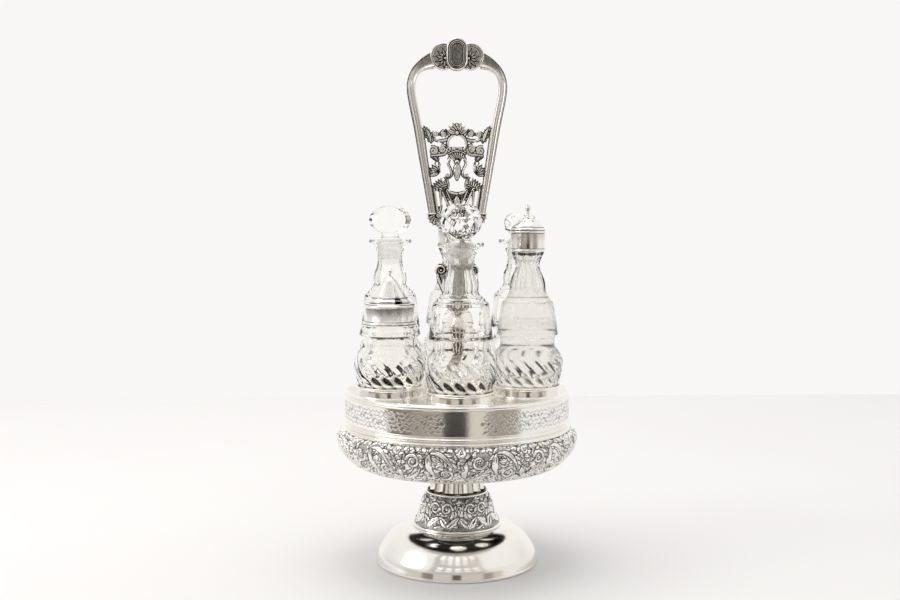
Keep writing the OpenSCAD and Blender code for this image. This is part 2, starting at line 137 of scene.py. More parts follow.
def make_mesh(name, points, faces, sharp=35, weld=False):
    """A mesh from points in millimetres and a list of face arrays, with its normals outwards."""
    points = np.asarray(points, float) * MM
    faces = [np.asarray(f, np.int64) for f in faces if len(f)]
    if signed_volume(points, faces) < 0:
        faces = [f[:, ::-1] for f in faces]
    mesh = bpy.data.meshes.new(name)
    corners = np.concatenate([f.ravel() for f in faces])
    sizes = np.concatenate([np.full(len(f), f.shape[1]) for f in faces])
    mesh.vertices.add(len(points))
    mesh.vertices.foreach_set("co", points.astype(np.float32).ravel())
    mesh.loops.add(len(corners))
    mesh.loops.foreach_set("vertex_index", corners.astype(np.int32))
    mesh.polygons.add(len(sizes))
    starts = np.concatenate([[0], np.cumsum(sizes)[:-1]])
    mesh.polygons.foreach_set("loop_start", starts.astype(np.int32))
    mesh.update(calc_edges=True)
    if weld:
        bm = bmesh.new()
        bm.from_mesh(mesh)
        bmesh.ops.remove_doubles(bm, verts=bm.verts, dist=1e-6)
        bm.to_mesh(mesh)
        bm.free()
    mesh.validate()
    mesh.shade_smooth()
    mesh.set_sharp_from_angle(angle=math.radians(sharp))
    return mesh


def grid_faces(rows, columns, wrap_rows=False, wrap_columns=False):
    r = np.arange(rows if wrap_rows else rows - 1)[:, None]
    c = np.arange(columns if wrap_columns else columns - 1)[None, :]
    below, beside = (r + 1) % rows, (c + 1) % columns
    quads = [r * columns + c, r * columns + beside, below * columns + beside, below * columns + c]
    return np.stack(np.broadcast_arrays(*quads), -1).reshape(-1, 4)


def turned(name, profile, centre=(0, 0), columns=160, warp=None, closed=True, sharp=35):
    """A solid of revolution. warp(angle, r, z) may change r and z round the axis."""
    angle = np.arange(columns) / columns * TURN
    ones = np.ones((1, columns))
    r, z = profile[:, :1] * ones, profile[:, 1:2] * ones
    a = np.ones((len(profile), 1)) * angle[None, :]
    if warp:
        r, z = warp(a, r, z)
    points = np.stack([centre[0] + r * np.cos(a), centre[1] + r * np.sin(a), z], -1)
    faces = grid_faces(len(profile), columns, wrap_rows=closed, wrap_columns=True)
    on_axis = bool((profile[:, 0] < 1e-6).any())
    return make_mesh(name, points.reshape(-1, 3), [faces], sharp, weld=on_axis)


def boolean(mesh, others, operation):
    """mesh with the other meshes joined on or cut away."""
    made = [bpy.data.objects.new(m.name + "_tmp", m) for m in (mesh, *others)]
    for o in made:
        bpy.context.scene.collection.objects.link(o)
    for other in made[1:]:
        m = made[0].modifiers.new("cut", "BOOLEAN")
        m.operation, m.solver, m.object = operation, "EXACT", other
    graph = bpy.context.evaluated_depsgraph_get()
    result = bpy.data.meshes.new_from_object(made[0].evaluated_get(graph))
    for o in made:
        bpy.data.objects.remove(o)
    result.shade_smooth()
    result.set_sharp_from_angle(angle=math.radians(30))
    return result


def piece(name, mesh, body, material, slot, *nodes):
    """Shows a mesh as a piece that rides on a body in place of the CAD nodes."""
    obj = bpy.data.objects.new(name, mesh)
    bpy.context.scene.collection.objects.link(obj)
    mesh.materials.clear()
    for m in material if isinstance(material, (list, tuple)) else [material]:
        mesh.materials.append(m)
    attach(obj, body)
    if nodes:
        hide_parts(*nodes)
    return obj


def places(items, kind):
    """Where a mesh's vertices ("co") or polygons ("center") are, in millimetres."""
    found = np.empty(len(items) * 3)
    items.foreach_get(kind, found)
    return found.reshape(-1, 3) / MM


def paint(mesh, name, values):
    """Keeps one number a vertex, which a material can read."""
    layer = mesh.attributes.new(name, "FLOAT", "POINT")
    layer.data.foreach_set("value", np.asarray(values, np.float32).ravel())


# ---------------------------------------------------------------- relief


class Relief:
    """A height map in millimetres, raised by strokes, leaves, petals and beads."""

    def __init__(self, width, height, step, left=0.0, bottom=0.0, repeats=False, moat=0.45):
        columns, rows = round(width / step), round(height / step)
        across = np.arange(columns if repeats else columns + 1) * width / columns
        self.u, self.v = np.meshgrid(left + across, bottom + np.linspace(0, height, rows + 1))
        self.h = np.zeros(self.u.shape)
        self.inset = np.full(self.u.shape, -1.0)
        self.near = self.inset.copy()
        self.line = np.zeros(self.u.shape)
        self.step = step
        self.moat = moat
        self.reach = max(2 * step, moat + step, 0.9)
        self.shifts = (-width, 0, width) if repeats else (0,)

    def window(self, low, high):
        columns = np.flatnonzero((self.u[0] >= low[0]) & (self.u[0] <= high[0]))
        rows = np.flatnonzero((self.v[:, 0] >= low[1]) & (self.v[:, 0] <= high[1]))
        return np.ix_(rows, columns) if len(rows) and len(columns) else None

    def lift(self, window, h, inset):
        """Lays a form over what is there, with a sunk line round it."""
        under = self.h[window]
        line = 1 - smooth_step(-inset, 0.55 * self.moat, self.moat + 0.01)
        self.line[window] = np.where(inset > 0, 0, np.maximum(line, self.line[window]))
        self.near[window] = np.maximum(self.near[window], inset)
        self.h[window] = np.where(inset > 0, h, np.where(inset > -self.moat, 0.05 * under, under))
        self.inset[window] = np.maximum(self.inset[window], inset)

    def within(self, outline):
        """How far each point is inside a closed outline."""
        path = np.vstack([outline, outline[:1]])
        near = np.full(self.u.shape, 1e9)
        inside = np.zeros(self.u.shape, bool)
        for a, b in zip(path[:-1], path[1:]):
            ab = b - a
            t = ((self.u - a[0]) * ab[0] + (self.v - a[1]) * ab[1]) / max(ab @ ab, 1e-9)
            t = np.clip(t, 0, 1)
            near = np.minimum(near, np.hypot(self.u - a[0] - t * ab[0], self.v - a[1] - t * ab[1]))
            crosses = (a[1] > self.v) != (b[1] > self.v)
            rise = ab[1] if abs(ab[1]) > 1e-9 else 1e-9
            inside ^= crosses & (self.u < a[0] + (self.v - a[1]) * ab[0] / rise)
        return np.where(inside, near, -near)

    def plate(self, outline, height):
        """A flat ground with softened edges."""
        depth = self.within(np.asarray(outline, float))
        self.h = np.maximum(self.h, height * np.sqrt(np.clip(depth / 0.6, 0, 1)))
        self.inset = np.maximum(self.inset, depth)

    def pierce(self, margin):
        """Opens the ground wherever it is further than margin from every form."""
        self.inset = np.minimum(self.inset, self.near + margin)
        self.h = np.where(self.inset > 0, self.h, 0)

    def opening(self, outline):
        depth = self.within(np.asarray(outline, float))
        self.h = np.where(depth > 0, 0, self.h)
        self.inset = np.minimum(self.inset, -depth)

    def along(self, path, reach):
        """How far each nearby grid point is from path, and how far along it, from 0 to 1."""
        window = self.window(path.min(0) - reach, path.max(0) + reach)
        if window is None:
            return None
        q = np.stack([self.u[window], self.v[window]], -1)[..., None, :]
        a, ab = path[:-1], np.diff(path, axis=0)
        t = ((q - a) * ab).sum(-1) / np.maximum((ab * ab).sum(-1), 1e-9)
        t = np.clip(t, 0, 1)
        d = np.linalg.norm(q - (a + t[..., None] * ab), axis=-1)
        k = d.argmin(-1)[..., None]
        d, t = (np.take_along_axis(x, k, -1)[..., 0] for x in (d, t))
        return window, d, (k[..., 0] + t) / len(ab)

    def stroke(self, path, width, height, end_width=None):
        """A rounded ridge. width is half its breadth, and may taper to end_width."""
        end_width = width if end_width is None else end_width
        for shift in self.shifts:
            found = self.along(np.asarray(path) + (shift, 0), max(width, end_width) + self.reach)
            if found:
                window, d, t = found
                half = width + (end_width - width) * t
                h = height * (0.4 + 0.6 * half / max(width, end_width))
                self.lift(window, h * np.sqrt(np.clip(1 - (d / half) ** 2, 0, 1)), half - d)

    def leaf(self, path, width, height, lobes=0):
        """A pointed leaf along path with a sunk vein, and lobed edges if lobes is given."""
        for shift in self.shifts:
            found = self.along(np.asarray(path) + (shift, 0), width + self.reach)
            if found:
                window, d, t = found
                half = width * np.sin(math.pi * np.clip(t, 0.02, 0.985) ** 0.75)
                if lobes:
                    half = half * (0.78 + 0.22 * np.abs(np.sin(math.pi * lobes * t)))
                half = np.maximum(half, 0.08)
                x = d / half
                h = np.sqrt(np.clip(1 - x**2, 0, 1)) * (1 - 0.5 * np.exp(-((x / 0.22) ** 2)))
                self.lift(window, height * (0.25 + 0.95 * h), half - d)

    def disc(self, centre, radius, shape):
        """shape(distance, angle) gives a height and how far inside the edge a point is."""
        for shift in self.shifts:
            c = np.array(centre, float) + (shift, 0)
            window = self.window(c - radius - self.reach, c + radius + self.reach)
            if window is not None:
                x, y = self.u[window] - c[0], self.v[window] - c[1]
                self.lift(window, *shape(np.hypot(x, y), np.arctan2(y, x)))

    def bead(self, centre, radius, height):
        def shape(d, _):
            return height * np.sqrt(np.clip(1 - (d / radius) ** 2, 0, 1)), radius - d

        self.disc(centre, radius, shape)

    def rosette(self, centre, radius, petals, height):
        def shape(d, angle):
            edge = radius * (0.7 + 0.3 * np.abs(np.cos(petals * angle / 2)))
            x = np.clip(d / edge, 0, 1)
            crease = 1 - 0.45 * (1 - np.abs(np.cos(petals * angle / 2))) ** 3
            return height * (0.3 + 0.7 * np.sin(math.pi * x**0.8)) * crease, edge - d

        self.disc(centre, radius, shape)
        self.bead(centre, radius * 0.3, height * 1.1)

    def fan(self, centre, inner, outer, start, end, ribs, width, height):
        """Leaves that spread from centre between two angles in degrees."""
        for a in np.radians(np.linspace(start, end, ribs)):
            out = np.array([math.cos(a), math.sin(a)])
            ends = np.array(centre) + inner * out, np.array(centre) + outer * out
            self.leaf(np.linspace(*ends, 6), width, height)

    def frond(self, path, length, height, pairs, width=1.2):
        """An acanthus leaf: side lobes that lean forward from a curved midrib."""
        spots = evenly(np.asarray(path), pairs + 2)
        for k in range(pairs):
            ahead = spots[k + 1] - spots[k]
            heading = math.atan2(ahead[1], ahead[0])
            reach = length * math.sin(math.pi * (k + 1.2) / (pairs + 1.4))
            for side in (-1, 1):
                tip = spots[k + 1] + reach * np.array(
                    [math.cos(heading + side * 0.85), math.sin(heading + side * 0.85)])
                middle = spots[k + 1] + 0.5 * reach * np.array(
                    [math.cos(heading + side * 1.35), math.sin(heading + side * 1.35)])
                self.leaf(bend(spots[k], middle, tip, 8), width, height * 0.85)
        self.leaf(path, width, height)

    def crevices(self, low=0.04, high=0.35, ground=0.8, steep=2.2):
        """How dark with tarnish each point is: high on the ground and beside steep forms."""
        h = self.h / max(self.h.max(), 1e-9)
        blur = h.copy()
        for axis in (0, 1):
            for _ in range(2):
                blur = (np.roll(blur, 1, axis) + blur + np.roll(blur, -1, axis)) / 3
        ground = ground * (1 - smooth_step(h, low, high))
        return np.clip(np.maximum(np.maximum(ground, 0.9 * self.line), steep * (blur - h)), 0, 1)


def mirrored(path):
    return np.asarray(path) * (-1, 1)


def both_halves(right):
    """A closed outline from its right half, which runs upwards."""
    return np.vstack([right, mirrored(right)[::-1]])


def chased(name, profile, relief, repeats, thickness, sink=False, dark=0.8, steep=2.2):
    """A turned sheet whose outside carries the relief, repeated round the axis."""
    outer = evenly(profile, relief.h.shape[0])
    normal = outward(outer)
    inner = evenly(profile, 10)
    inner = (inner - outward(inner) * thickness)[::-1]
    h = np.tile(relief.h, (1, repeats)) * (-1 if sink else 1)
    tarnish_and_shade = relief.crevices(ground=dark, steep=steep)
    if sink:
        tarnish_and_shade = 0.62 * relief.h / relief.h.max()
    tarnish_and_shade = np.tile(tarnish_and_shade, (1, repeats))
    columns = h.shape[1]
    a = FRONT + np.arange(columns) / columns * TURN
    r = np.vstack([outer[:, :1] + normal[:, :1] * h, inner[:, :1] * np.ones((1, columns))])
    z = np.vstack([outer[:, 1:] + normal[:, 1:] * h, inner[:, 1:] * np.ones((1, columns))])
    points = np.stack([r * np.cos(a), r * np.sin(a), z], -1).reshape(-1, 3)
    mesh = make_mesh(name, points, [grid_faces(len(r), columns, True, True)], sharp=60)
    # The crevices carry tarnish; the inside of the sheet gets painted shade, fully dark.
    paint(mesh, "tarnish_and_shade", np.vstack([tarnish_and_shade, np.full((len(inner), columns), 1.0)]))
    return mesh


def cast_plate(name, relief, shift=(0, 0), ground=0.45):
    """An openwork casting, alike front and back: it is solid wherever the relief was raised."""
    inside = relief.inset > 0
    keep = inside[:-1, :-1] | inside[1:, :-1] | inside[:-1, 1:] | inside[1:, 1:]
    slope_v, slope_u = np.gradient(relief.inset, relief.step)
    slope = np.maximum(slope_u**2 + slope_v**2, 0.3)
    pull = np.where(inside, 0, np.clip(-relief.inset / slope, 0, 1.4 * relief.step))
    u, v = relief.u + pull * slope_u + shift[0], relief.v + pull * slope_v + shift[1]
    used = np.zeros(inside.shape, bool)
    for rows in (slice(None, -1), slice(1, None)):
        for columns in (slice(None, -1), slice(1, None)):
            used[rows, columns] |= keep
    front = np.full(inside.shape, -1)
    front[used] = np.arange(used.sum())
    both = used & inside
    back = front.copy()
    back[both] = used.sum() + np.arange(both.sum())
    h = np.where(inside, relief.h, 0)
    points = np.vstack([
        np.column_stack([u[used], -h[used], v[used]]),
        np.column_stack([u[both], h[both], v[both]])])

    def cells(index):
        corners = index[:-1, :-1], index[:-1, 1:], index[1:, 1:], index[1:, :-1]
        return np.stack([c[keep] for c in corners], -1)

    mesh = make_mesh(name, points, [cells(front), cells(back)[:, ::-1]], sharp=50)
    tarnish_and_shade = relief.crevices(0.35, 0.7, ground, slope)
    paint(mesh, "tarnish_and_shade", np.concatenate([tarnish_and_shade[used], tarnish_and_shade[both]]))
    return mesh


# ---------------------------------------------------------------- materials


def node(tree, kind, inputs=None, **settings):
    n = tree.nodes.new(kind)
    for key, value in settings.items():
        setattr(n, key, value)
    for key, value in (inputs or {}).items():
        if isinstance(value, bpy.types.NodeSocket):
            tree.links.new(value, n.inputs[key])
        else:
            n.inputs[key].default_value = value
    return n


def new_material(name, **plain):
    """A material and its Principled shader, with the plain values set on the shader."""
    material = bpy.data.materials.new(name)
    material.use_nodes = True
    tree = material.node_tree
    shader = tree.nodes["Principled BSDF"]
    for key, value in plain.items():
        shader.inputs[key.replace("_", " ")].default_value = value
    return material, tree, shader


def calc(tree, operation, a, b):
    """A sum worked out by the material, such as MULTIPLY."""
    return node(tree, "ShaderNodeMath", {0: a, 1: b}, operation=operation).outputs[0]


def noise(tree, scale, detail=4, stretch=(1, 1, 1)):
    place = node(tree, "ShaderNodeTexCoord")
    sized = node(tree, "ShaderNodeMapping", {"Vector": place.outputs["Object"], "Scale": stretch})
    return node(tree, "ShaderNodeTexNoise",
                {"Vector": sized.outputs[0], "Scale": scale, "Detail": detail}).outputs["Fac"]


def ramp(tree, factor, *stops):
    n = node(tree, "ShaderNodeValToRGB", {"Fac": factor})
    for k, (at, colour) in enumerate(stops):
        e = n.color_ramp.elements[k] if k < 2 else n.color_ramp.elements.new(at)
        e.position, e.color = at, (*colour, 1)
    return n.outputs["Color"]


def spread(tree, value, low, high, from_low=0.0, from_high=1.0):
    return node(tree, "ShaderNodeMapRange", {
        "Value": value, "From Min": from_low, "From Max": from_high,
        "To Min": low, "To Max": high}).outputs[0]


def bump(tree, height, strength, distance):
    return node(tree, "ShaderNodeBump",
                {"Height": height, "Strength": strength, "Distance": distance}).outputs[0]


def silver_material(name, colour, rough):
    """Polished plate: cloudy wear, a little warmth in patches and fine hairlines."""
    material, tree, shader = new_material(name, Metallic=1.0)
    cloud = noise(tree, 45, 5)
    warm = tuple(c * k for c, k in zip(colour, (0.97, 0.94, 0.88)))
    tint = ramp(tree, cloud, (0.38, colour), (0.72, warm))
    tree.links.new(tint, shader.inputs["Base Color"])
    tree.links.new(spread(tree, cloud, rough * 0.7, rough * 1.6, 0.3, 0.7),
                   shader.inputs["Roughness"])
    hairs = noise(tree, 500, 3, (1, 1, 0.12))
    tree.links.new(bump(tree, hairs, 0.03, 0.0002), shader.inputs["Normal"])
    return material


def chased_material(name, colour, dark, rough, depth=1.0):
    """Stamped plate: bright where it stands proud, dark where polish never reaches, and dark where
    shade is painted into the same attribute.
    """
    material, tree, shader = new_material(name, Metallic=1.0)
    read = node(tree, "ShaderNodeAttribute", attribute_name="tarnish_and_shade").outputs["Fac"]
    grain = noise(tree, 900, 3)
    mixed = calc(tree, "MULTIPLY", read, spread(tree, grain, 0.72, 1.3, 0.3, 0.7))
    half_bright = tuple(0.55 * c for c in colour)
    tint = ramp(tree, mixed, (0.12, colour), (0.85 / depth, dark), (0.4 / depth, half_bright))
    tree.links.new(tint, shader.inputs["Base Color"])
    tree.links.new(spread(tree, mixed, rough, 0.5), shader.inputs["Roughness"])
    tree.links.new(bump(tree, grain, 0.12, 0.0003), shader.inputs["Normal"])
    return material


def floor_material():
    """Plate that is bright on top, with painted shade underneath: near black below the middle of
    its height.
    """
    material, tree, shader = new_material("silver_painted_shade_underside", Metallic=1.0)
    place = node(tree, "ShaderNodeTexCoord").outputs["Generated"]
    height = node(tree, "ShaderNodeSeparateXYZ", {0: place}).outputs["Z"]
    # Painted shade: the lower half, the floor's underside, is near black and the top half is
    # bright.
    tint = ramp(tree, height, (0.4, (0.04, 0.037, 0.033)), (0.6, (0.9, 0.89, 0.86)))
    tree.links.new(tint, shader.inputs["Base Color"])
    tree.links.new(spread(tree, noise(tree, 60, 3), 0.25, 0.45), shader.inputs["Roughness"])
    return material


def glass_material(name, rough, ripple, bend_light, clear=1.0):
    """Glass. clear below 1 leaves a share of white haze."""
    material, tree, shader = new_material(
        name, Base_Color=(0.995, 0.99, 0.975, 1), IOR=bend_light, Transmission_Weight=clear)
    wave = noise(tree, 120, 2)
    tree.links.new(spread(tree, wave, rough * 0.6, rough * 1.5, 0.3, 0.7),
                   shader.inputs["Roughness"])
    tree.links.new(bump(tree, wave, ripple, 0.001), shader.inputs["Normal"])
    return material


SILVER = silver_material("silver_plate", (0.93, 0.915, 0.89), 0.10)
SATIN = silver_material("silver_worn", (0.88, 0.86, 0.82), 0.24)
CHASED = chased_material("silver_chased", (0.92, 0.90, 0.87), (0.035, 0.032, 0.028), 0.15)
CAST = chased_material("silver_cast", (0.86, 0.84, 0.80), (0.02, 0.018, 0.016), 0.17, 1.25)
ENGRAVED = chased_material("silver_engraved", (0.93, 0.915, 0.89), (0.10, 0.085, 0.06), 0.11)
BRASS = silver_material("brass_dull", (0.62, 0.50, 0.27), 0.32)
FLOOR = floor_material()
CLEAR = glass_material("glass_clear", 0.02, 0.05, 1.36)
CUT = glass_material("glass_cut", 0.01, 0.02, 1.38)
FROSTED = glass_material("glass_ground", 0.3, 0.15, 1.12, 0.9)
CLOUDY = glass_material("glass_clouded", 0.22, 0.15, 1.18, 0.95)


# ---------------------------------------------------------------- pedestal and tray


def make_foot():
    high = box_mm("foot")[1]
    r, top = high[0], high[2]
    dome = curve([(r - 0.5, 4), (r - 1.8, 9), (r - 5.4, 14.8), (r - 9, 19.6), (r - 13.9, 24.2),
                  (r - 19.7, 27.2), (r - 27.2, top)])
    rim = curve([(r - 1.6, 0), (r - 0.2, 0.5), (r, 1.5), (r - 0.3, 2.6)], 5)
    outside = chain(rim, dome, (12.2, top))
    under = evenly(dome, 40)
    under = (under - outward(under) * 1.2)[::-1]
    profile = chain(outside, (12.2, top - 1.2), under, (r - 2.4, 1.6), (r - 2.4, 0))
    mesh = turned("foot_spun", profile, columns=256)
    piece("foot_spun", mesh, "pedestal", SILVER, "polished_silver", "foot")


def scatter_leaves(relief, width, low, high, count, height, seed):
    """Fills a field with overlapping leaves that sweep along it, thrown by a fixed seed."""
    dice = np.random.default_rng(seed)
    for k in range(count):
        root = np.array([(k + dice.uniform(-0.4, 0.4)) / count * width * 3 % width,
                         dice.uniform(low, high)])
        heading = dice.choice([0.4, 2.6]) + dice.uniform(-0.6, 0.6)
        if root[1] > (low + high) / 2:
            heading = -heading
        length = dice.uniform(7, 11)
        tip = root + length * np.array([math.cos(heading), 0.7 * math.sin(heading)])
        tip[1] = np.clip(tip[1], low, high)
        side = length * 0.3 * dice.choice([-1, 1])
        middle = (root + tip) / 2 + side * np.array([-math.sin(heading), math.cos(heading)])
        relief.leaf(bend(root, middle, tip, 8), dice.uniform(1.9, 2.8), height,
                    dice.choice([0, 0, 3]))


def leafy_scroll(relief, centre, radius, start, hand, height, flower=False):
    """A scroll with long leaves springing off its back, and sometimes a flower in its eye."""
    for spoke in range(5):
        a = math.radians(start + 58 * hand * spoke)
        out = np.array([math.cos(a), math.sin(a)])
        root = np.array(centre) + radius * 0.9 * out
        side = hand * np.array([-out[1], out[0]])
        relief.leaf(bend(root, root + 2.4 * out, root + 2.6 * out + 3.8 * side), 1.4, height * 0.9)
    relief.stroke(spiral(centre, radius, 1.6, start, hand), 1.05, height, 0.6)
    if flower:
        relief.rosette(centre, radius * 0.46, 5, height * 1.15)
    else:
        relief.bead(centre, radius * 0.24, height * 1.1)


def berries(relief, centre, height):
    for dx, dy in ((0, 0), (1.9, 0), (-1.9, 0), (0.95, 1.7), (-0.95, 1.7), (0, -1.7)):
        relief.bead((centre[0] + dx, centre[1] + dy), 1.05, height)


def scrollwork(relief, width, low, high, height):
    """One repeat of the running acanthus that covers the gallery."""
    tall = high - low
    scatter_leaves(relief, width, low, high, 190, height * 0.85, 11)
    for k in range(30):
        at = (k + 0.5) / 30 * width
        lean = 1 if k % 3 else -1
        relief.leaf(bend((at, high - 4), (at + lean, high - 1), (at + 3.4 * lean, high + 0.6)), 1.7,
                    height * 0.85)

    def spot(x, y):
        return np.array([x * width, low + y * tall])

    for x, y, lean in ((0.02, 0.2, 1), (0.25, 0.84, -1), (0.5, 0.2, 1), (0.75, 0.84, -1)):
        root, tip = spot(x, y), spot(x + 0.2, y + 0.5 * lean)
        relief.frond(bend(root, spot(x + 0.12, y - 0.14 * lean), tip), 5.6, height, 6, 1.5)
        relief.leaf(bend(root, spot(x - 0.03, y + 0.3 * lean), spot(x + 0.04, y + 0.6 * lean)),
                    2.6, height, 3)
    scrolls = ((0.12, 0.66, 5.6), (0.37, 0.34, 6.0), (0.62, 0.66, 5.6), (0.87, 0.34, 6.0),
               (0.25, 0.14, 3.4), (0.49, 0.88, 3.2), (0.74, 0.14, 3.4), (0.99, 0.88, 3.2))
    for k, (x, y, size) in enumerate(scrolls):
        leafy_scroll(relief, spot(x, y), size, 80 * k, 1 if k % 2 else -1, height, k in (0, 3))
    for x, y in ((0.5, 0.52), (0.98, 0.5)):
        berries(relief, spot(x, y), height)


def make_gallery():
    low, high = box_mm("gallery")
    r, bottom, top = high[0] - 0.9, low[2], high[2]
    lip = bottom + 1.6
    profile = curve([(r - 16.5, bottom), (r - 13.5, lip), (r - 8.9, 83.8), (r - 4.3, 88.8),
                     (r - 1, 94.2), (r, 100.4), (r - 1.9, 104.4), (r - 5.5, top)])
    repeats = 6
    width = TURN * r / repeats
    tall = np.linalg.norm(np.diff(profile, axis=0), axis=1).sum()
    relief = Relief(width, tall, 0.42, repeats=True, moat=0.6)
    scrollwork(relief, width, 3, tall - 1, 1.1)
    for at in (0.8, 2.1):
        relief.stroke([(-1, at), (width + 1, at)], 0.6, 0.7)
    mesh = chased("gallery_chased", profile, relief, repeats, 1.4, dark=0.4, steep=0.9)
    piece("gallery_chased", mesh, "carousel", CHASED, "oxidised_silver", "gallery")


def make_collar():
    low, high = box_mm("stem_collar")
    r, bottom, top = high[0], low[2], high[2]
    profile = curve([(r, bottom), (r - 1.9, bottom + 3.1), (r - 4.6, bottom + 7.5),
                     (r - 6.3, bottom + 15), (r - 9.6, top)])
    repeats = 3
    width = TURN * (r - 5) / repeats
    tall = np.linalg.norm(np.diff(profile, axis=0), axis=1).sum()
    relief = Relief(width, tall, 0.33, repeats=True, moat=0.45)
    scatter_leaves(relief, width, 2, tall - 0.8, 64, 0.8, 5)
    for x in (0.0, 0.5):
        foot = x * width
        for lean in (-1, 1):
            relief.frond(bend((foot, 3), (foot + 2 * lean, 12), (foot + 6 * lean, tall - 1.6)),
                         4.6, 0.95, 5, 1.4)
    for hand, x in ((1, 0.17), (-1, 0.34), (1, 0.67), (-1, 0.84)):
        at = x * width
        stem = bend((at + 7 * hand, 1.5), (at - 6.5 * hand, 7), (at - 5 * hand, 16))
        relief.stroke(stem, 1.1, 0.9)
        leafy_scroll(relief, (at, 16.4), 5, 180 if hand > 0 else 0, -hand, 1.05)
    for k in range(8):
        at = (k + 0.5) / 8 * width
        lean = 1 if k % 2 else -1
        relief.leaf(bend((at - 4 * lean, 1.2), (at - lean, 8), (at + 4.6 * lean, 10.4)), 3.2,
                    1.0, 3 if k % 3 else 0)
    mesh = chased("stem_collar_chased", profile, relief, repeats, 1.2, dark=0.5, steep=1.4)
    piece("stem_collar_chased", mesh, "pedestal", CHASED, "oxidised_silver", "stem_collar")


def bead_ring(low, high, inner):
    """Profile of a half-round wire ring between two corners of its box."""
    middle, half = (low[2] + high[2]) / 2, (high[2] - low[2]) / 2
    face = arc((high[0] - half, middle), half, -90, 90, 14)
    return chain((inner, low[2]), face, (inner, high[2]))


def make_collar_rings():
    for name, inner in (("collar_bottom_ring", 32.2), ("collar_top_ring", 22.8)):
        mesh = turned(name + "_bead", bead_ring(*box_mm(name), inner), columns=200)
        piece(name + "_bead", mesh, "pedestal", SILVER, "polished_silver", name)


def make_neck():
    low, high = box_mm("neck")
    bottom, top, flutes = low[2], high[2], 16
    outside = curve([(21.2, bottom), (21.8, 56), (20.6, 66), (19.6, 80), (20.4, 94),
                     (26, top - 2), (28, top)])
    profile = chain(outside, (17, top), (17, bottom + 2), (3.2, bottom + 2), (3.2, bottom))

    def fluted(a, r, z):
        across = (a * flutes / TURN + 0.5) % 1
        depth = 1.5 * (1 - (2 * across - 1) ** 2)
        depth *= smooth_step(z, bottom + 2, bottom + 5) * (1 - smooth_step(z, 94, 99))
        return np.where(r > 18, r - depth, r), z

    mesh = turned("neck_fluted", profile, columns=256, warp=fluted)
    piece("neck_fluted", mesh, "carousel", SILVER, "polished_silver", "neck")


def engraving(width, tall):
    """Fine wriggled lines and small leaves on the band, with a blank at each repeat's ends."""
    cut = Relief(width, tall, 0.3, repeats=True, moat=0)
    blank, depth, rows = 0.085 * width, 0.14, 5
    dice = np.random.default_rng(3)
    along = np.linspace(blank, width - blank, 420)
    for row in range(rows):
        level = tall * (0.17 + 0.66 * row / (rows - 1))
        wave = 0.7 * np.sin(along * TURN / 4.6 + 2 * row) + 0.4 * np.sin(along * TURN / 7.7 + row)
        cut.stroke(np.column_stack([along, level + wave]), 0.26, depth)
    for k in range(56):
        root = np.array([blank + (k + 0.5) / 56 * (width - 2 * blank), dice.uniform(3, tall - 3)])
        lean, rise = dice.choice([-1, 1]), dice.choice([-1, 1])
        tip = root + (lean * 2.6, rise * dice.uniform(1, 2.6))
        cut.leaf(bend(root, root + (0.4 * lean, rise * 1.6), tip, 6), 0.6, depth)
        if k % 2:
            cut.stroke(spiral(root, 1.2, 1.2, 90 * rise, lean), 0.24, depth, 0.18)
    for end in (blank - 1, width - blank + 1):
        cut.rosette((end, tall / 2), 1.7, 8, depth)
    return cut


def make_drum():
    low, high = box_mm("drum_band")
    r, bottom, top = high[0], low[2], high[2]
    repeats = 3
    relief = engraving(TURN * r / repeats, top - bottom)
    straight = np.array([(r, bottom), (r, top)])
    mesh = chased("drum_band_cut", straight, relief, repeats, 1.2, sink=True)
    piece("drum_band_cut", mesh, "carousel", ENGRAVED, "polished_silver", "drum_band")
    low, high = box_mm("drum_moulding")
    inner, start = r - 1.6, low[2]
    beads = chain((inner, start), arc((r - 0.6, start + 1.8), 1.8, -80, 80, 14),
                  arc((r - 0.4, start + 5.5), 1.4, -75, 75, 12), (r + 0.2, high[2] - 1.1),
                  (r + 0.2, high[2] - 0.5), (r, high[2]), (inner, high[2]))
    mesh = turned("drum_moulding_beads", beads, columns=288)
    piece("drum_moulding_beads", mesh, "carousel", SILVER, "polished_silver", "drum_moulding")
    low, high = box_mm("drum_rim")
    deck_r = box_mm("deck")[1][0]
    rolled = chain((deck_r, low[2]), (r, low[2]), (r - 0.05, low[2] + 0.4),
                   (r + 0.25, low[2] + 0.8),
                   arc((r - 1.3, low[2] + 1.9), 1.65, -40, 80, 14),
                   curve([(deck_r + 0.7, high[2]), (deck_r, high[2])], 3))
    mesh = turned("drum_rim_rolled", rolled, columns=288)
    piece("drum_rim_rolled", mesh, "carousel", SILVER, "polished_silver", "drum_rim")


def middle_of(node_name):
    low, high = box_mm(node_name)
    return (low[0] + high[0]) / 2, (low[1] + high[1]) / 2


def make_rings():
    for name in [n for n in frame["nodes"] if n.startswith("ring_")]:
        low, high = box_mm(name)
        lip, bottom, top = (high[0] - low[0]) / 2, low[2], high[2]
        hole, wall = lip - 2.1, lip - 1.1
        profile = chain((hole, bottom), (wall + 0.5, bottom), (wall + 0.1, bottom + 0.5),
                        (wall, bottom + 1), (wall, top - 2.3), (wall + 0.3, top - 1.9),
                        arc((lip - 1, top - 1), 1, -50, 120, 12), (hole + 0.2, top - 0.3),
                        (hole, top - 0.8))
        mesh = turned(name + "_spun", profile, middle_of(name), columns=128)
        piece(name + "_spun", mesh, "carousel", SILVER, "polished_silver", name)


# ---------------------------------------------------------------- handle


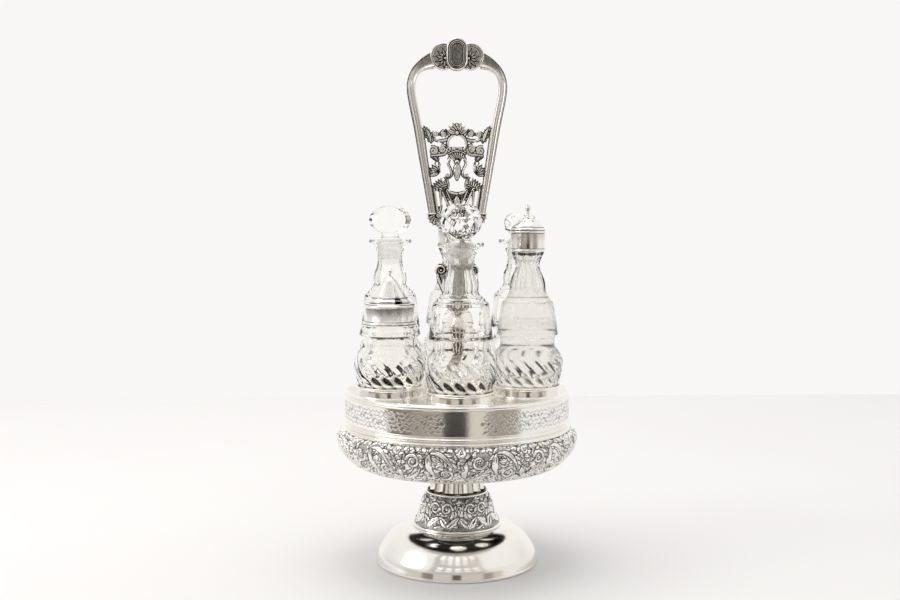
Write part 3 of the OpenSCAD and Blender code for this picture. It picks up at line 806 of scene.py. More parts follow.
def make_post():
    low, high = box_mm("handle_post")
    bottom, top = low[2], high[2]
    profile = chain((3.2, bottom), (12.6, bottom), curve(
        [(13, bottom + 0.8), (12.6, bottom + 1.9), (9.5, bottom + 4.4), (6.4, 147), (5.4, 160),
         (7.6, 173), (9.2, 182), (6.6, 191), (5, 198), (7.4, 203)]),
        (7.4, top), (0, top), (0, 152), (3.2, 152))
    mesh = turned("handle_post_turned", profile, columns=96)
    piece("handle_post_turned", mesh, "carousel", SILVER, "polished_silver", "handle_post")


def make_volutes():
    """The lyre: a broad waisted body whose shoulders roll outwards into scrolls."""
    low, high = box_mm("handle_volutes")
    half, bottom, top = high[0], low[2], high[2]
    relief = Relief(2 * half + 4, top - bottom + 4, 0.25, left=-half - 2, bottom=bottom - 2)
    centre = (half - 5, top - 5)
    side = curve([(6, bottom), (9.4, bottom + 2.4), (12.6, bottom + 8), (15.2, bottom + 15),
                  (half - 1.2, bottom + 22), (half - 3.6, top), (8, top - 1), (5, top)])
    relief.plate(both_halves(side), 1.5)
    for flip in (np.asarray, mirrored):
        edge = curve([(5.6, bottom + 1.4), (9, bottom + 5.4), (12.2, bottom + 12),
                      (14.8, bottom + 19), (15.6, top - 5.5)])
        relief.stroke(flip(edge), 1.3, 3.1, 1.1)
        relief.stroke(flip(spiral(centre, 4, 1.7, -20, 1)), 1.0, 3.5, 0.7)
        relief.bead(flip(centre), 1.2, 3.7)
        relief.leaf(flip(bend((1.6, bottom + 3), (5, bottom + 12), (8.4, top - 6))), 2.2, 2.5)
    relief.leaf([(0, bottom), (0, top + 1)], 3.4, 3, 4)
    mesh = cast_plate("handle_volutes_cast", relief, ground=0.3)
    piece("handle_volutes_cast", mesh, "carousel", CAST, "oxidised_silver", "handle_volutes")


def make_yoke():
    low, high = box_mm("handle_yoke")
    half, bottom, top = high[0], low[2], high[2]
    relief = Relief(2 * half + 4, top - bottom + 8, 0.25, left=-half - 2, bottom=bottom - 3)
    side = curve([(6, bottom - 0.5), (6.6, bottom + 5), (5.2, bottom + 12), (6.2, bottom + 19),
                  (12, bottom + 25), (half, top - 0.6), (half - 1.4, top), (7, top - 1.6),
                  (0, top - 2)])
    relief.plate(both_halves(side), 1.5)
    relief.stroke([(-5, bottom + 7.4), (5, bottom + 7.4)], 1.2, 3.0)
    relief.stroke([(-4.6, bottom + 10), (4.6, bottom + 10)], 0.8, 2.6)
    for flip in (np.asarray, mirrored):
        arm = bend((4.4, bottom + 17), (8, top - 6), (half - 0.8, top - 0.8))
        relief.stroke(flip(arm), 1.4, 2.9, 1.2)
        relief.leaf(flip(bend((1.6, bottom + 16), (2, top - 7), (8.6, top - 1.4))), 1.9, 2.3)
    relief.leaf([(0, bottom + 12), (0, top + 3)], 2.8, 2.9, 3)
    mesh = cast_plate("handle_yoke_cast", relief, ground=0.15)
    piece("handle_yoke_cast", mesh, "carousel", CAST, "oxidised_silver", "handle_yoke")


def bow_edges():
    """Outer and inner edge of the right bar, (x, z), from its foot to under the cartouche."""
    low, high = box_mm("handle_bar_right")
    wide, foot = high[0], low[2]
    outer = curve([(21.8, foot), (29.2, 314), (33.3, 338), (wide - 1.2, 358.5), (wide, 368),
                   (wide - 0.5, 374.6), (36, 380.8), (32.7, 385.9), (27, 391.4), (20, 395.9)], 12)
    inner = curve([(16.8, foot), (23.2, 314), (27, 340), (30.4, 357), (31.9, 366), (31.8, 372.5),
                   (29.8, 378), (26.4, 381), (22.6, 382.5), (17.4, 383.1)], 12)
    return outer, inner


def make_bars():
    """Each bar is three reeds side by side, which melt into a scooped shoulder at the top."""
    outer, inner = bow_edges()
    across, shoulder = 41, len(outer) * 0.54
    place = np.arange(len(outer))[:, None]
    v = np.linspace(-1, 1, across)[None, :]
    plain = smooth_step(place, shoulder * 0.8, shoulder * 1.2)
    reeds = np.zeros((1, across))
    for centre, half, tall in ((-0.52, 0.46, 1.0), (0.16, 0.24, 0.78), (0.68, 0.3, 0.86)):
        reeds = np.maximum(reeds, tall * np.sqrt(np.clip(1 - ((v - centre) / half) ** 2, 0, 1)))
    reeds = np.maximum(reeds, 0.6 * np.sqrt(np.clip(1 - v**4, 0, 1)))
    scoop = np.sqrt(np.clip(1 - v**6, 0, 1)) * (0.5 + 0.3 * v**2)
    scoop = np.maximum(scoop, 0.84 * np.sqrt(np.clip(1 - ((v - 0.72) / 0.26) ** 2, 0, 1)))
    depth = 2.9 * ((1 - plain) * reeds + plain * scoop)
    middle, half = (outer + inner) / 2, (inner - outer) / 2
    x = middle[:, :1] + half[:, :1] * v
    z = middle[:, 1:] + half[:, 1:] * v
    for name, side in (("handle_bar_right", 1), ("handle_bar_left", -1)):
        front = np.stack([side * x, -depth, z], -1)
        back = np.stack([side * x, depth, z], -1)[:, -2:0:-1]
        loop = np.concatenate([front, back], 1)
        rows, columns = loop.shape[:2]
        body = grid_faces(rows, columns, wrap_columns=True)
        low_cap = np.arange(columns)[None, ::-1]
        high_cap = low_cap[:, ::-1] + (rows - 1) * columns
        mesh = make_mesh(name + "_moulded", loop.reshape(-1, 3), [body, low_cap, high_cap], 40)
        grooves = sum(np.exp(-(((v - at) / 0.05) ** 2)) for at in (-0.07, 0.39))
        grooves = grooves * (1 - 0.8 * smooth_step(place, shoulder * 0.3, shoulder * 0.75))
        # The grooves between the reeds are tarnish. Painted shade: a dark wedge on the outer part
        # of the scooped top, and a dark band along each edge, the outer one darker.
        top_dark = smooth_step(place, shoulder * 1.1, shoulder * 1.6)
        scoop_shade = top_dark * (1 - smooth_step(v, 0.2, 0.45)) * smooth_step(v, -0.98, -0.85)
        edge = smooth_step(-v, 0.64, 0.76) + 0.5 * smooth_step(v, 0.84, 0.93)
        tarnish_and_shade = np.maximum(0.6 * grooves, np.maximum(0.5 * scoop_shade, 0.8 * edge))
        paint(mesh, "tarnish_and_shade", np.concatenate([tarnish_and_shade, tarnish_and_shade[:, -2:0:-1]], 1))
        piece(name + "_moulded", mesh, "carousel", CHASED, "polished_silver", name)


class PanelHalf:
    """Draws one half of the panel. side is 1 for the right and -1 for the left."""

    def __init__(self, relief, side, low, high):
        self.relief, self.side = relief, side
        self.low, self.high = low, high

    def place(self, path):
        return np.asarray(path) * (self.side, 1)

    def line(self, path, width, height=None, end=None):
        self.relief.stroke(self.place(path), width, height or self.low, end)

    def spray(self, path, length, pairs, width=1.0):
        self.relief.frond(self.place(path), length, self.low, pairs, width)

    def fan(self, hub, inner, outer, start, end, ribs, width):
        angles = (start, end) if self.side > 0 else (180 - end, 180 - start)
        self.relief.fan(self.place(hub), inner, outer, *angles, ribs, width, self.low)

    def fans(self, foot):
        self.line([(17.2, foot + 1), (23.4, 313), (26.6, 337)], 0.6)
        self.spray(bend((14.6, 313), (18, 318), (19.6, 316)), 2.6, 3, 0.8)
        self.fan((7.2, 286), 4, 14.4, 34, 88, 7, 1.25)
        self.fan((13.6, 303.6), 1, 8.4, -12, 88, 6, 1.15)
        self.line(arc((7.2, 286), 8.4, 36, 86, 16), 0.5, self.high)

    def scrolls(self, ring_z):
        high = self.high
        self.line(curve([(7, ring_z + 3.4), (10.6, 328.6), (14.8, 328.8), (19, 330.8),
                         (22.4, 333.8), (24.4, 337.2)]), 0.95)
        self.line(curve([(5.6, ring_z + 5.6), (8, 336.6), (11.6, 336.2), (13, 333.6)]), 0.85)
        self.line(spiral((10.2, 333.8), 2.3, 1.3, 80, -1), 0.7, high)
        self.line(spiral((16.4, 333.8), 2.5, 1.4, -70, 1), 0.75, high)
        self.spray(bend((20, 327), (21.4, 334.6), (25.4, 340)), 3.2, 4, 1.2)
        self.line(spiral((18, 320.8), 3.4, 1.5, 60, 1), 0.85, high)
        self.line(spiral((11, 322.2), 3.1, 1.4, 120, -1), 0.85, high)
        self.line(curve([(6.9, ring_z - 3), (9.6, 318.6), (14, 317.6), (19.4, 317.2)]), 0.85)
        self.line(spiral((2.9, ring_z - 3.6), 2.1, 1.3, 0, -1), 0.7, high)
        self.line(curve([(5.2, 316), (7.2, 311.4), (5.4, 307), (4.2, 303), (6, 300.6)]), 1.0,
                  high, 0.7)
        self.line(spiral((7.4, 302.6), 1.8, 1.2, 200, 1), 0.6, high)

    def swag_and_struts(self):
        self.line(curve([(12.8, 291.6), (9.4, 286.4), (4.8, 283.4), (0, 282.6)]), 1.2, self.high)
        self.line(curve([(7.6, 291), (5, 288.8), (0, 287.8)]), 0.9)
        for k in range(4):
            spot = self.place((1.8 + 2.7 * k, 284.6 + 0.5 * k * k))
            self.relief.rosette(spot, 1.7, 5, self.high * 1.1)
        self.line([(11.4, 289), (1.4, 267)], 0.85)
        self.line([(8, 290), (6.4, 286.4), (0.4, 273)], 0.6)
        self.line(curve([(17.6, 291.4), (16.4, 284), (15.4, 277), (14.4, 272)]), 0.9)
        self.line(curve([(13, 290.4), (12.4, 284), (12.6, 277), (14, 272)]), 0.7)


def panel_ground(relief, top, foot, ring_z):
    """The panel's thin ground, and the openings that go through it."""
    edge = [(17.4, foot), (23.8, 314), (27, 338), (26.2, 340.8), (24.2, 339.4), (22.2, 336.2),
            (20.6, 334.4), (18.6, 336), (16.4, 336.4), (14, 334.8), (11.6, 336.8), (8.8, 337.8),
            (6.2, 336), (4.6, 338.6), (2.6, top - 0.6)]
    relief.plate(both_halves(edge), 0.6)
    window = [(7, 301), (10.4, 301.2), (12.6, 304.6), (12.8, 309), (11.6, 313.6), (9.2, 315.8),
              (7.2, 314.4), (8.2, 311), (6.2, 307.4), (5.2, 303.4)]
    eye = arc((3.8, 314.6), 1.5, 0, 340, 14)
    crescent = [(12.2, 331.4), (14.6, 329.8), (17.4, 330.2), (19.2, 332.4), (16.6, 331.9),
                (14.4, 332.1)]
    upper_side = [(20, 323), (22.2, 322.4), (23.2, 326.4), (21.2, 327.8)]
    lower_side = [(19.7, 309.4), (21.2, 308.4), (22.2, 314), (21.6, 316.8), (20, 314.6)]
    by_scroll = [(14.2, 324.2), (16.4, 325.8), (14.2, 328), (11.8, 326)]
    by_shoulder = [(8.8, 331), (11.6, 330.8), (10.4, 332.4)]
    by_leaf = [(15, 306.6), (17.4, 309.8), (15.6, 312.4), (14.4, 309.6)]
    by_fan = [(9.2, 297.4), (12.4, 297.8), (12.2, 300), (9.6, 299.6)]
    slot = [(13, 278.4), (15.2, 278.4), (17, 289.2), (15.7, 290.6), (14, 289.2)]
    upper_strut = [(11.2, 288.6), (11.6, 279.6), (7.2, 279.6)]
    lower_strut = [(8.2, 287.2), (6.8, 287), (2.2, 276.6), (4.4, 276.6)]
    for outline in (window, eye, crescent, upper_side, lower_side, by_scroll, by_shoulder,
                    by_leaf, by_fan, slot, upper_strut, lower_strut):
        relief.opening(outline)
        relief.opening(mirrored(outline))
    relief.opening(arc((0, ring_z), 5.9, -24, 204, 40))
    relief.opening(both_halves([(6.4, 290.4), (5.4, 295), (4.6, 299.2), (2, 300.4), (0.8, 297.6)]))


def make_panel():
    """The openwork between the bars: shell, ring, scrolls, fans, pendant, swag and struts."""
    low, high = box_mm("handle_panel")
    top, foot = high[2], low[2]
    ring_z = top - 16.6
    relief = Relief(56, top - foot + 12, 0.25, left=-28, bottom=foot - 8, moat=0.4)
    panel_ground(relief, top, foot, ring_z)
    deep, mid = 1.5, 1.3
    for side in (1, -1):
        half = PanelHalf(relief, side, mid, deep)
        half.fans(foot)
        half.scrolls(ring_z)
        half.swag_and_struts()
    relief.stroke(arc((0, ring_z), 6.9, -40, 220, 40), 0.95, deep)
    relief.plate(both_halves([(3, 313.4), (7.4, 320.8), (4, 321.8)]), 0.9)
    relief.fan((0, 311), 2.8, 10.4, 52, 128, 7, 1.2, mid)
    relief.stroke(arc((0, 311), 9.8, 50, 130, 14), 0.55, deep)
    relief.bead((0, 312.4), 1.9, deep * 1.2)
    relief.leaf([(0, 311.4), (0, 297.2)], 2.9, deep, 3)
    relief.fan((0, top - 9.4), 0.6, 9.6, 22, 158, 7, 1.6, deep)
    relief.bead((0, top - 8.4), 1.6, deep * 1.15)
    relief.leaf([(0, 286.4), (0, 274)], 2.4, deep)
    relief.pierce(0.7)
    mesh = cast_plate("handle_panel_cast", relief, ground=0.1)
    piece("handle_panel_cast", mesh, "carousel", CAST, "oxidised_silver", "handle_panel")


def make_palmettes():
    """A scallop at each bar's lower end, spreading outwards and down."""
    for name, side in (("palmette_right", 1), ("palmette_left", -1)):
        top = box_mm(name)[1][2]
        hub = np.array([side * 14.6, top - 0.8])
        relief = Relief(28, 16, 0.2, left=min(0, side * 28), bottom=top - 12, moat=0.35)
        rim = arc((0, 0), 8, 12, -112, 20) * (side, 1) + hub
        relief.plate(np.vstack([rim, hub]), 1.3)
        angles = (8, -108) if side > 0 else (172, 288)
        relief.fan(hub, 1, 9.4, *angles, 6, 1.5, 2.5)
        relief.stroke([(side * 16.6, top + 0.6), (side * 22.4, top + 0.6)], 0.9, 3.3)
        relief.stroke(spiral(hub, 2, 1.3, 90, side), 0.7, 2.9)
        mesh = cast_plate(name + "_cast", relief, ground=0.12)
        piece(name + "_cast", mesh, "carousel", CAST, "oxidised_silver", name)


def make_cartouche():
    """An upright oval with two raised rims round a sunk plain field, the same at the back."""
    low, high = box_mm("cartouche")
    half, deep = high[0], high[1]
    middle, straight = (low[2] + high[2]) / 2, (high[2] - low[2]) / 2 - half
    inset = chain((0, 0.2), (0.1, deep - 1), (0.4, deep - 0.25), (0.85, deep), (1.3, deep - 0.3),
                  (1.6, deep - 1.2), (1.9, deep - 1.2), (2.2, deep - 0.5), (2.6, deep - 0.45),
                  (2.85, deep - 1.2), (3.1, deep - 1.2), (3.35, deep - 0.6), (3.7, deep - 0.6),
                  (4.0, deep - 1.5), (half - 0.02, deep - 1.4))
    fine = evenly(inset, 60)
    count = 72
    a = (np.arange(count) + 0.5) / count * TURN
    end = np.where(np.sin(a) > 0, straight, -straight)
    rows = []
    for away, height in chain(np.column_stack([fine[:, 0], -fine[:, 1]])[::-1], fine):
        r = half - away
        rows.append(np.column_stack([r * np.cos(a), np.full(count, height),
                                     middle + end + r * np.sin(a)]))
    points = np.vstack(rows)
    sides = grid_faces(len(rows), count, wrap_columns=True)
    caps = [np.arange(count)[None, :], np.arange(count)[None, ::-1] + (len(rows) - 1) * count]
    mesh = make_mesh("cartouche_cast", points, [sides, *caps], 30)
    away = np.concatenate([fine[::-1, 0], fine[:, 0]])
    sunk = sum(np.exp(-(((away - at) / 0.28) ** 2)) for at in (1.75, 2.97, 4.1))
    edge = 1 - smooth_step(away, 0, 0.25)
    # Painted shade: the sunk plain field is made half dark, for the dark it reflects; the grooves
    # and the edge are tarnish.
    field = 0.5 * smooth_step(away, 4.0, 4.3)
    paint(mesh, "tarnish_and_shade", np.repeat(np.maximum(np.maximum(sunk, field), 0.8 * edge), count))
    piece("cartouche_cast", mesh, "carousel", CAST, "oxidised_silver", "cartouche")


def capsule(half, straight, centre):
    """An upright outline with round ends, counter-clockwise."""
    right = np.vstack([arc((0, -straight), half, -90, 0, 12), arc((0, straight), half, 0, 90, 12)])
    return both_halves(right) + centre


def make_shells():
    """A round boss each side of the cartouche, with a fan of ribs that faces outwards."""
    plate_low, plate_high = box_mm("cartouche")
    plate_half = plate_high[0] - 0.4
    plate_straight = (plate_high[2] - plate_low[2]) / 2 - plate_high[0]
    plate_z = (plate_high[2] + plate_low[2]) / 2
    for name, side in (("shell_right", 1), ("shell_left", -1)):
        low, high = box_mm(name)
        radius, z = (high[2] - low[2]) / 2, (high[2] + low[2]) / 2
        x = side * (max(abs(low[0]), abs(high[0])) - radius)
        relief = Relief(2 * radius + 2, 2 * radius + 2, 0.2, left=-radius - 1,
                        bottom=-radius - 1, moat=0.25)

        def dish(d, _):
            rim = np.sqrt(np.clip(1 - ((d - radius + 0.75) / 0.75) ** 2, 0, 1))
            inner = 0.8 * np.sqrt(np.clip(1 - ((d - radius + 2.1) / 0.5) ** 2, 0, 1))
            return 1.0 + 1.9 * np.maximum(rim, inner), radius - d

        relief.disc((0, 0), radius, dish)
        hub = np.array([-1.4 * side, -1.4])
        middle = 12 if side > 0 else 168
        relief.fan(hub, 1.4, 8, middle - 124, middle + 124, 9, 0.9, 2.7)
        relief.bead(hub, 1.5, 2.8)
        relief.opening(capsule(plate_half, plate_straight, (0, plate_z)) - (x, z))
        mesh = cast_plate(name + "_cast", relief, shift=(x, z), ground=0.3)
        piece(name + "_cast", mesh, "carousel", CAST, "oxidised_silver", name)


# ---------------------------------------------------------------- bottles

FLUTES = 18
NECK_PANELS = 9
seat_z = box_mm("cruet_front")[0][2]
body_r = (box_mm("cruet_front")[1][0] - box_mm("cruet_front")[0][0]) / 2
lip_z = box_mm("cruet_front")[1][2]
EDGE_Z, STEP_Z = 182.4, 208.1
# (z, r) midway between a bottle's outer and inner walls
BETWEEN_WALLS = [(117, 20.2), (122, 20.9), (143, 20.9), (161, 24.6), (172, 19), (185, 20.6),
                 (206, 18.6), (212, 13), (220, 10.8), (230, 8.8), (252, 8.8)]


def lower_outside():
    return chain(
        (12, seat_z + 0.9), (19.8, seat_z + 0.5), (21, seat_z),
        curve([(22.2, seat_z + 0.5), (22.6, seat_z + 2), (22.6, 124), (22.5, 139),
               (23.2, 144.2), (24.8, 147.5), (body_r - 1, 153.6), (body_r, 159.4),
               (body_r - 0.7, 164.6), (23.9, 169.3), (20.8, 173.4), (20.6, 178), (21.4, 181)]))


def lower_inside(edge):
    """The cavity, from its mouth's side down to the middle of the floor."""
    return curve([edge, (17.5, 179), (17.6, 172.4), (20.4, 167.6), (23, 161), (22.6, 153),
                  (19.8, 143), (19.8, 122), (18.6, 117.6), (12, 116.6)])


def is_outside(r, z):
    """Tells the outer wall of a bottle from the inner one."""
    return r > np.interp(z, *zip(*BETWEEN_WALLS))


def cut_glass(a, r, z):
    """Swirled ribs on the body and flat panels on the neck, on the outside only."""
    outside = is_outside(r, z)
    ribs = np.abs(np.sin(FLUTES / 2 * (a + (z - 155) / 30)))
    swirl = smooth_step(z, 143.5, 148) * (1 - smooth_step(z, 164, 168.5))
    flat = np.abs(((a * NECK_PANELS / TURN) % 1) - 0.5) * TURN / NECK_PANELS
    panel = math.cos(math.pi / NECK_PANELS) / np.cos(math.pi / NECK_PANELS - flat)
    necked = smooth_step(z, 212, 217) * (1 - smooth_step(z, 238, 245))
    seat = smooth_step(z, 113, 116) * (1 - smooth_step(z, 138, 141))
    scallop = np.abs(np.cos(FLUTES / 2 * a))
    r = np.where(outside, r - 0.95 * swirl * (1 - ribs) ** 1.1 - 0.3 * seat * (1 - scallop), r)
    return np.where(outside, r * (1 + 0.9 * necked * (panel - 1)), r), z


def ground_faces(mesh, chosen):
    """Gives the faces whose centre chosen(r, z) picks the second, frosted material."""
    corners, centres = places(mesh.vertices, "co"), places(mesh.polygons, "center")
    middle = (corners.min(0) + corners.max(0))[:2] / 2
    r = np.hypot(*(centres[:, :2] - middle).T)
    mesh.polygons.foreach_set("material_index", chosen(r, centres[:, 2]).astype(np.int32))


def make_bottle(name, body, upper, mouth, frosted, second=FROSTED):
    """upper is the outside above the waist, and mouth the inside from the rim to the shoulder."""
    profile = chain((0, seat_z + 1.2), lower_outside(), upper, mouth,
                    lower_inside(mouth[-1]), (0, 116.2))
    mesh = turned(name + "_glass", profile, middle_of(name), columns=180, warp=cut_glass,
                  closed=False, sharp=28)
    piece(name + "_glass", mesh, body, [CLEAR, second], "bottle_glass", name)
    ground_faces(mesh, frosted)


def make_cruets():
    for name, body in (("cruet_front", "front_cruet"), ("cruet_left", "left_cruet"),
                       ("cruet_right", "right_cruet")):
        upper = chain(
            (23.4, EDGE_Z - 0.2), (23.5, EDGE_Z + 0.3),
            curve([(23.2, 184), (22, 194), (20.5, 207)]),
            (20.3, STEP_Z), (19.4, STEP_Z + 0.7), (18.2, STEP_Z + 1),
            curve([(17.6, 211), (15.4, 213), (13.3, 216.2), (13.8, 220.5), (13, 225), (11.2, 228.8),
                   (10.1, 234), (10.4, 240.6), (12.6, 246), (13.7, lip_z - 3.4)]),
            curve([(16.3, lip_z - 3), (17, lip_z - 1.5), (16.2, lip_z)], 5))
        mouth = chain((8.6, lip_z), curve(
            [(7.9, lip_z - 1), (7.5, 236), (7.5, 229), (9.2, 221), (9.6, 216.6), (14, 210.6),
             (17, 205.6)]), (18.8, 192), (19.4, 184.6))
        make_bottle(name, body, upper, mouth, lambda r, z: (r < 8.7) & (z > 232))


def make_shakers():
    for name, body in (("shaker_front", "front_shaker"), ("shaker_rear", "rear_shaker")):
        upper = chain(
            (22.9, EDGE_Z - 0.2), (23, EDGE_Z + 0.3),
            curve([(22.8, 184), (21.4, 194), (19.6, 205.6)]),
            (19.4, 206.4), (18.4, 207.2),
            curve([(17.4, 208.2), (15.6, 210.8), (13.9, 215.6), (13.4, 221), (11.8, 226),
                   (9.2, 232), (9.4, 236.4), (12.2, 243.2)]),
            (12.3, 244), (11.3, 244.2), (11.3, 257))
        mouth = chain((8.6, 257.4), curve(
            [(7.7, 250), (7.5, 238), (6.6, 233), (7, 229.6), (9.4, 220), (10.2, 215),
             (12.6, 210.6), (16, 205.4)]), (18.2, 192), (19, 184.6))
        make_bottle(name, body, upper, mouth,
                    lambda r, z: ((z > 120) & ~is_outside(r, z)) | (z > 244.1), CLOUDY)


def make_mustard_jar():
    top, rim = box_mm("mustard_jar")[1][2], box_mm("mustard_collar")[0][2]
    upper = chain((22.9, EDGE_Z - 0.2), (23, EDGE_Z + 0.3), (22.6, 184.4), (21.2, rim - 0.8),
                  (20.4, rim), (17, rim), (17, top - 0.4), (16.6, top))
    mouth = chain((14.6, top), (14.2, top - 0.5), (14.2, 193), (15.4, 190), (18.4, 185))
    make_bottle("mustard_jar", "mustard_pot", upper, mouth, lambda r, z: (r > 16.9) & (z > rim))


def oval_rings(rings, count):
    """Cut faces between rings of (place along the axis, radius across, radius up, half steps)."""
    points = []
    for along, across, up, shift in rings:
        a = (np.arange(count) + shift / 2) / count * TURN
        points.append(np.column_stack([across * np.cos(a), up * np.sin(a), np.full(count, along)]))
    faces = []
    i = np.arange(count)
    j = (i + 1) % count
    for k, (ring, following) in enumerate(zip(rings, rings[1:])):
        first, second = k * count, (k + 1) * count
        lead = following[3] > ring[3]
        if ring[3] == following[3]:
            faces.append(np.column_stack([first + i, first + j, second + j]))
            faces.append(np.column_stack([first + i, second + j, second + i]))
        else:
            faces.append(np.column_stack([first + i, first + j, second + (i if lead else j)]))
            faces.append(np.column_stack([first + (j if lead else i), second + j, second + i]))
    faces.append(np.arange(count)[None, ::-1])
    faces.append(np.arange(count)[None, :] + (len(rings) - 1) * count)
    return np.vstack(points), faces


def stopper(name, body, head):
    """Joins a cut head to its ground shank."""
    low, _ = box_mm(name)
    centre = middle_of(name.replace("stopper", "cruet"))
    bottom = low[2]
    shank = turned(name + "_shank", chain(
        (0, bottom), (6.6, bottom), (7.3, bottom + 0.4), (7.42, bottom + 1), (7.82, lip_z),
        (7.8, lip_z + 1.2), (6.9, lip_z + 3), (6.9, lip_z + 8), (0, lip_z + 8)),
        centre, columns=64, closed=False)
    mesh = boolean(head, [shank], "UNION")
    mesh.set_sharp_from_angle(angle=math.radians(12))
    piece(name + "_cut", mesh, body, [CUT, FROSTED], "stopper_glass", name)
    ground_faces(mesh, lambda r, z: z < lip_z - 0.5)


def make_front_stopper():
    """A ball cut all over in triangles."""
    low, high = box_mm("stopper_front")
    top, r, base = high[2], (high[0] - low[0]) / 2, lip_z + 2.6
    rings = [(base, 7, 7, 0), (base + 4.8, 13.4, 13.4, 1), (base + 10, r + 0.6, r + 0.6, 0),
             (base + 16, r + 1, r + 1, 1), (top - 3.8, 12.4, 12.4, 0), (top, 6.4, 6.4, 1)]
    points, faces = oval_rings(rings, 9)
    points[:, :2] += middle_of("cruet_front")
    stopper("stopper_front", "front_stopper", make_mesh("ball", points, faces, 5))


def make_left_stopper():
    """A thick oval with a broad plain face each side and a bevelled edge all round."""
    top, base = box_mm("stopper_left")[1][2], lip_z + 3.9
    up, across, turn = (top - base) / 2 + 0.2, 17.4, math.radians(28)
    rings = [(-7.6, across - 2.6, up - 0.8, 0), (-7, across - 2, up - 0.6, 0),
             (-2.6, across, up, 0), (2.6, across, up, 0),
             (7, across - 2, up - 0.6, 0), (7.6, across - 2.6, up - 0.8, 0)]
    flat, faces = oval_rings(rings, 20)
    x, depth, z = flat[:, 0], flat[:, 2], flat[:, 1]
    points = np.column_stack([x * math.cos(turn) - depth * math.sin(turn),
                              x * math.sin(turn) + depth * math.cos(turn), z + base + up])
    points[:, :2] += middle_of("cruet_left")
    stopper("stopper_left", "left_stopper", make_mesh("oval", points, faces, 5))


def make_right_stopper():
    """A square block with its corners cut away to slanting triangles."""
    low, high = box_mm("stopper_right")
    top, half, base = high[2], (high[0] - low[0]) / 2, lip_z + 3.8
    diagonal = half * math.sqrt(2)
    rings = [(base, 7.6, 7.6, 0), (base + 4.2, diagonal * 0.9, diagonal * 0.9, 1),
             (base + 8.4, diagonal * 0.84, diagonal * 0.84, 0),
             (base + 12.6, diagonal * 0.9, diagonal * 0.9, 1), (top, 9.4, 9.4, 0)]
    points, faces = oval_rings(rings, 8)
    points[:, :2] += middle_of("cruet_right")
    stopper("stopper_right", "right_stopper", make_mesh("block", points, faces, 5))


# ---------------------------------------------------------------- bottle fittings


def finial(name, body):
    """An urn on a waisted stem, with a pointed flame."""
    low, high = box_mm(name)
    r, bottom, tall = (high[0] - low[0]) / 2, low[2], high[2] - low[2]
    shape = [(0, -0.02), (1, 0), (0.95, 0.06), (0.5, 0.16), (0.46, 0.26), (0.8, 0.31), (0.5, 0.37),
             (0.85, 0.5), (0.96, 0.62), (0.8, 0.75), (0.42, 0.88), (0.2, 0.96), (0, 1)]
    profile = curve([(r * a, bottom + tall * b) for a, b in shape], 5)
    profile[[0, -1], 0] = 0
    mesh = turned(name + "_turned", np.clip(profile, 0, None), middle_of(name), 48, closed=False)
    piece(name + "_turned", mesh, body, SILVER, "bottle_silver", name)


def darken(mesh, centre, creases, lining):
    """Tarnish along level creases, and painted shade inside: below the lining profile, rows of (r,
    z).
    """
    x, y, z = places(mesh.vertices, "co").T
    r = np.hypot(x - centre[0], y - centre[1])
    lines = sum(np.exp(-(((z - at) / 0.3) ** 2)) for at in creases)
    inside = r < np.interp(z, lining[:, 1], lining[:, 0])
    # The creases are tarnish; the inside is painted shade, nearly fully dark.
    paint(mesh, "tarnish_and_shade", np.maximum(0.8 * np.clip(lines, 0, 1), 0.9 * inside))


def cap_piercings(centre, around=8, radius=0.85):
    """Two staggered rows of round holes for a shaker's dome, as one cutting mesh."""
    drill = chain((0, 262), (radius, 262), (radius, 274), (0, 274))
    holes = []
    for row in (0, 1):
        for k in range(around):
            a, out = (k + row / 2) / around * TURN, 5 + 2.6 * row
            spot = centre[0] + out * math.cos(a), centre[1] + out * math.sin(a)
            holes.append(turned("hole", drill, spot, 10, closed=False))
    return merge(holes)


def make_caps():
    for name, body in (("shaker_cap_front", "front_cap"), ("shaker_cap_rear", "rear_cap")):
        low, high = box_mm(name)
        r, bottom, top = (high[0] - low[0]) / 2 - 0.6, low[2], high[2]
        inner = r - 1.1
        profile = chain(
            (inner, bottom), (r - 0.2, bottom), arc((r - 0.1, bottom + 1), 0.75, -80, 80, 9),
            (r - 0.2, bottom + 2.2), (r - 0.1, bottom + 2.6), (r, bottom + 3), (r, 257.8),
            (r - 0.25, 258.2), arc((r - 0.2, 259.2), 0.8, -70, 70, 8),
            arc((r - 0.5, 261.1), 0.9, -70, 80, 8),
            curve([(12.1, 262.4), (11.7, 263.8), (10.4, 265.2), (7.6, 267.4), (4.8, 269.2),
                   (2.8, top)]),
            (0, top), (0, top - 2), curve([(4, 267.4), (6.8, 265.7), (9.9, 263)], 4),
            (inner, 260))
        centre = middle_of(name)
        mesh = turned(name + "_body", profile, centre, 96)
        mesh = boolean(mesh, [cap_piercings(centre)], "DIFFERENCE")
        lining = np.array([(inner + 0.3, bottom), (inner + 0.3, 261), (10.2, 263.4),
                           (7.1, 266.1), (4.3, 267.8), (0.1, 268.8)])
        darken(mesh, centre, (bottom + 2.2, 258.1, 260.2, 262.4), lining)
        piece(name + "_pierced", mesh, body, CHASED, "bottle_silver", name)
        finial(name.replace("shaker_cap", "cap_finial"), body)


def merge(meshes):
    """One mesh from several that don't touch."""
    bm = bmesh.new()
    for m in meshes:
        bm.from_mesh(m)
    result = bpy.data.meshes.new("merged")
    bm.to_mesh(result)
    bm.free()
    return result


def hinge_place():
    """The lid hinge's axis from the frame: a point and a direction, in millimetres."""
    joint = next(j for j in frame["joints"] if j["name"] == "pot_lid_hinge")
    return np.array(joint["pos_m"]) / MM, np.array(joint["axis"])


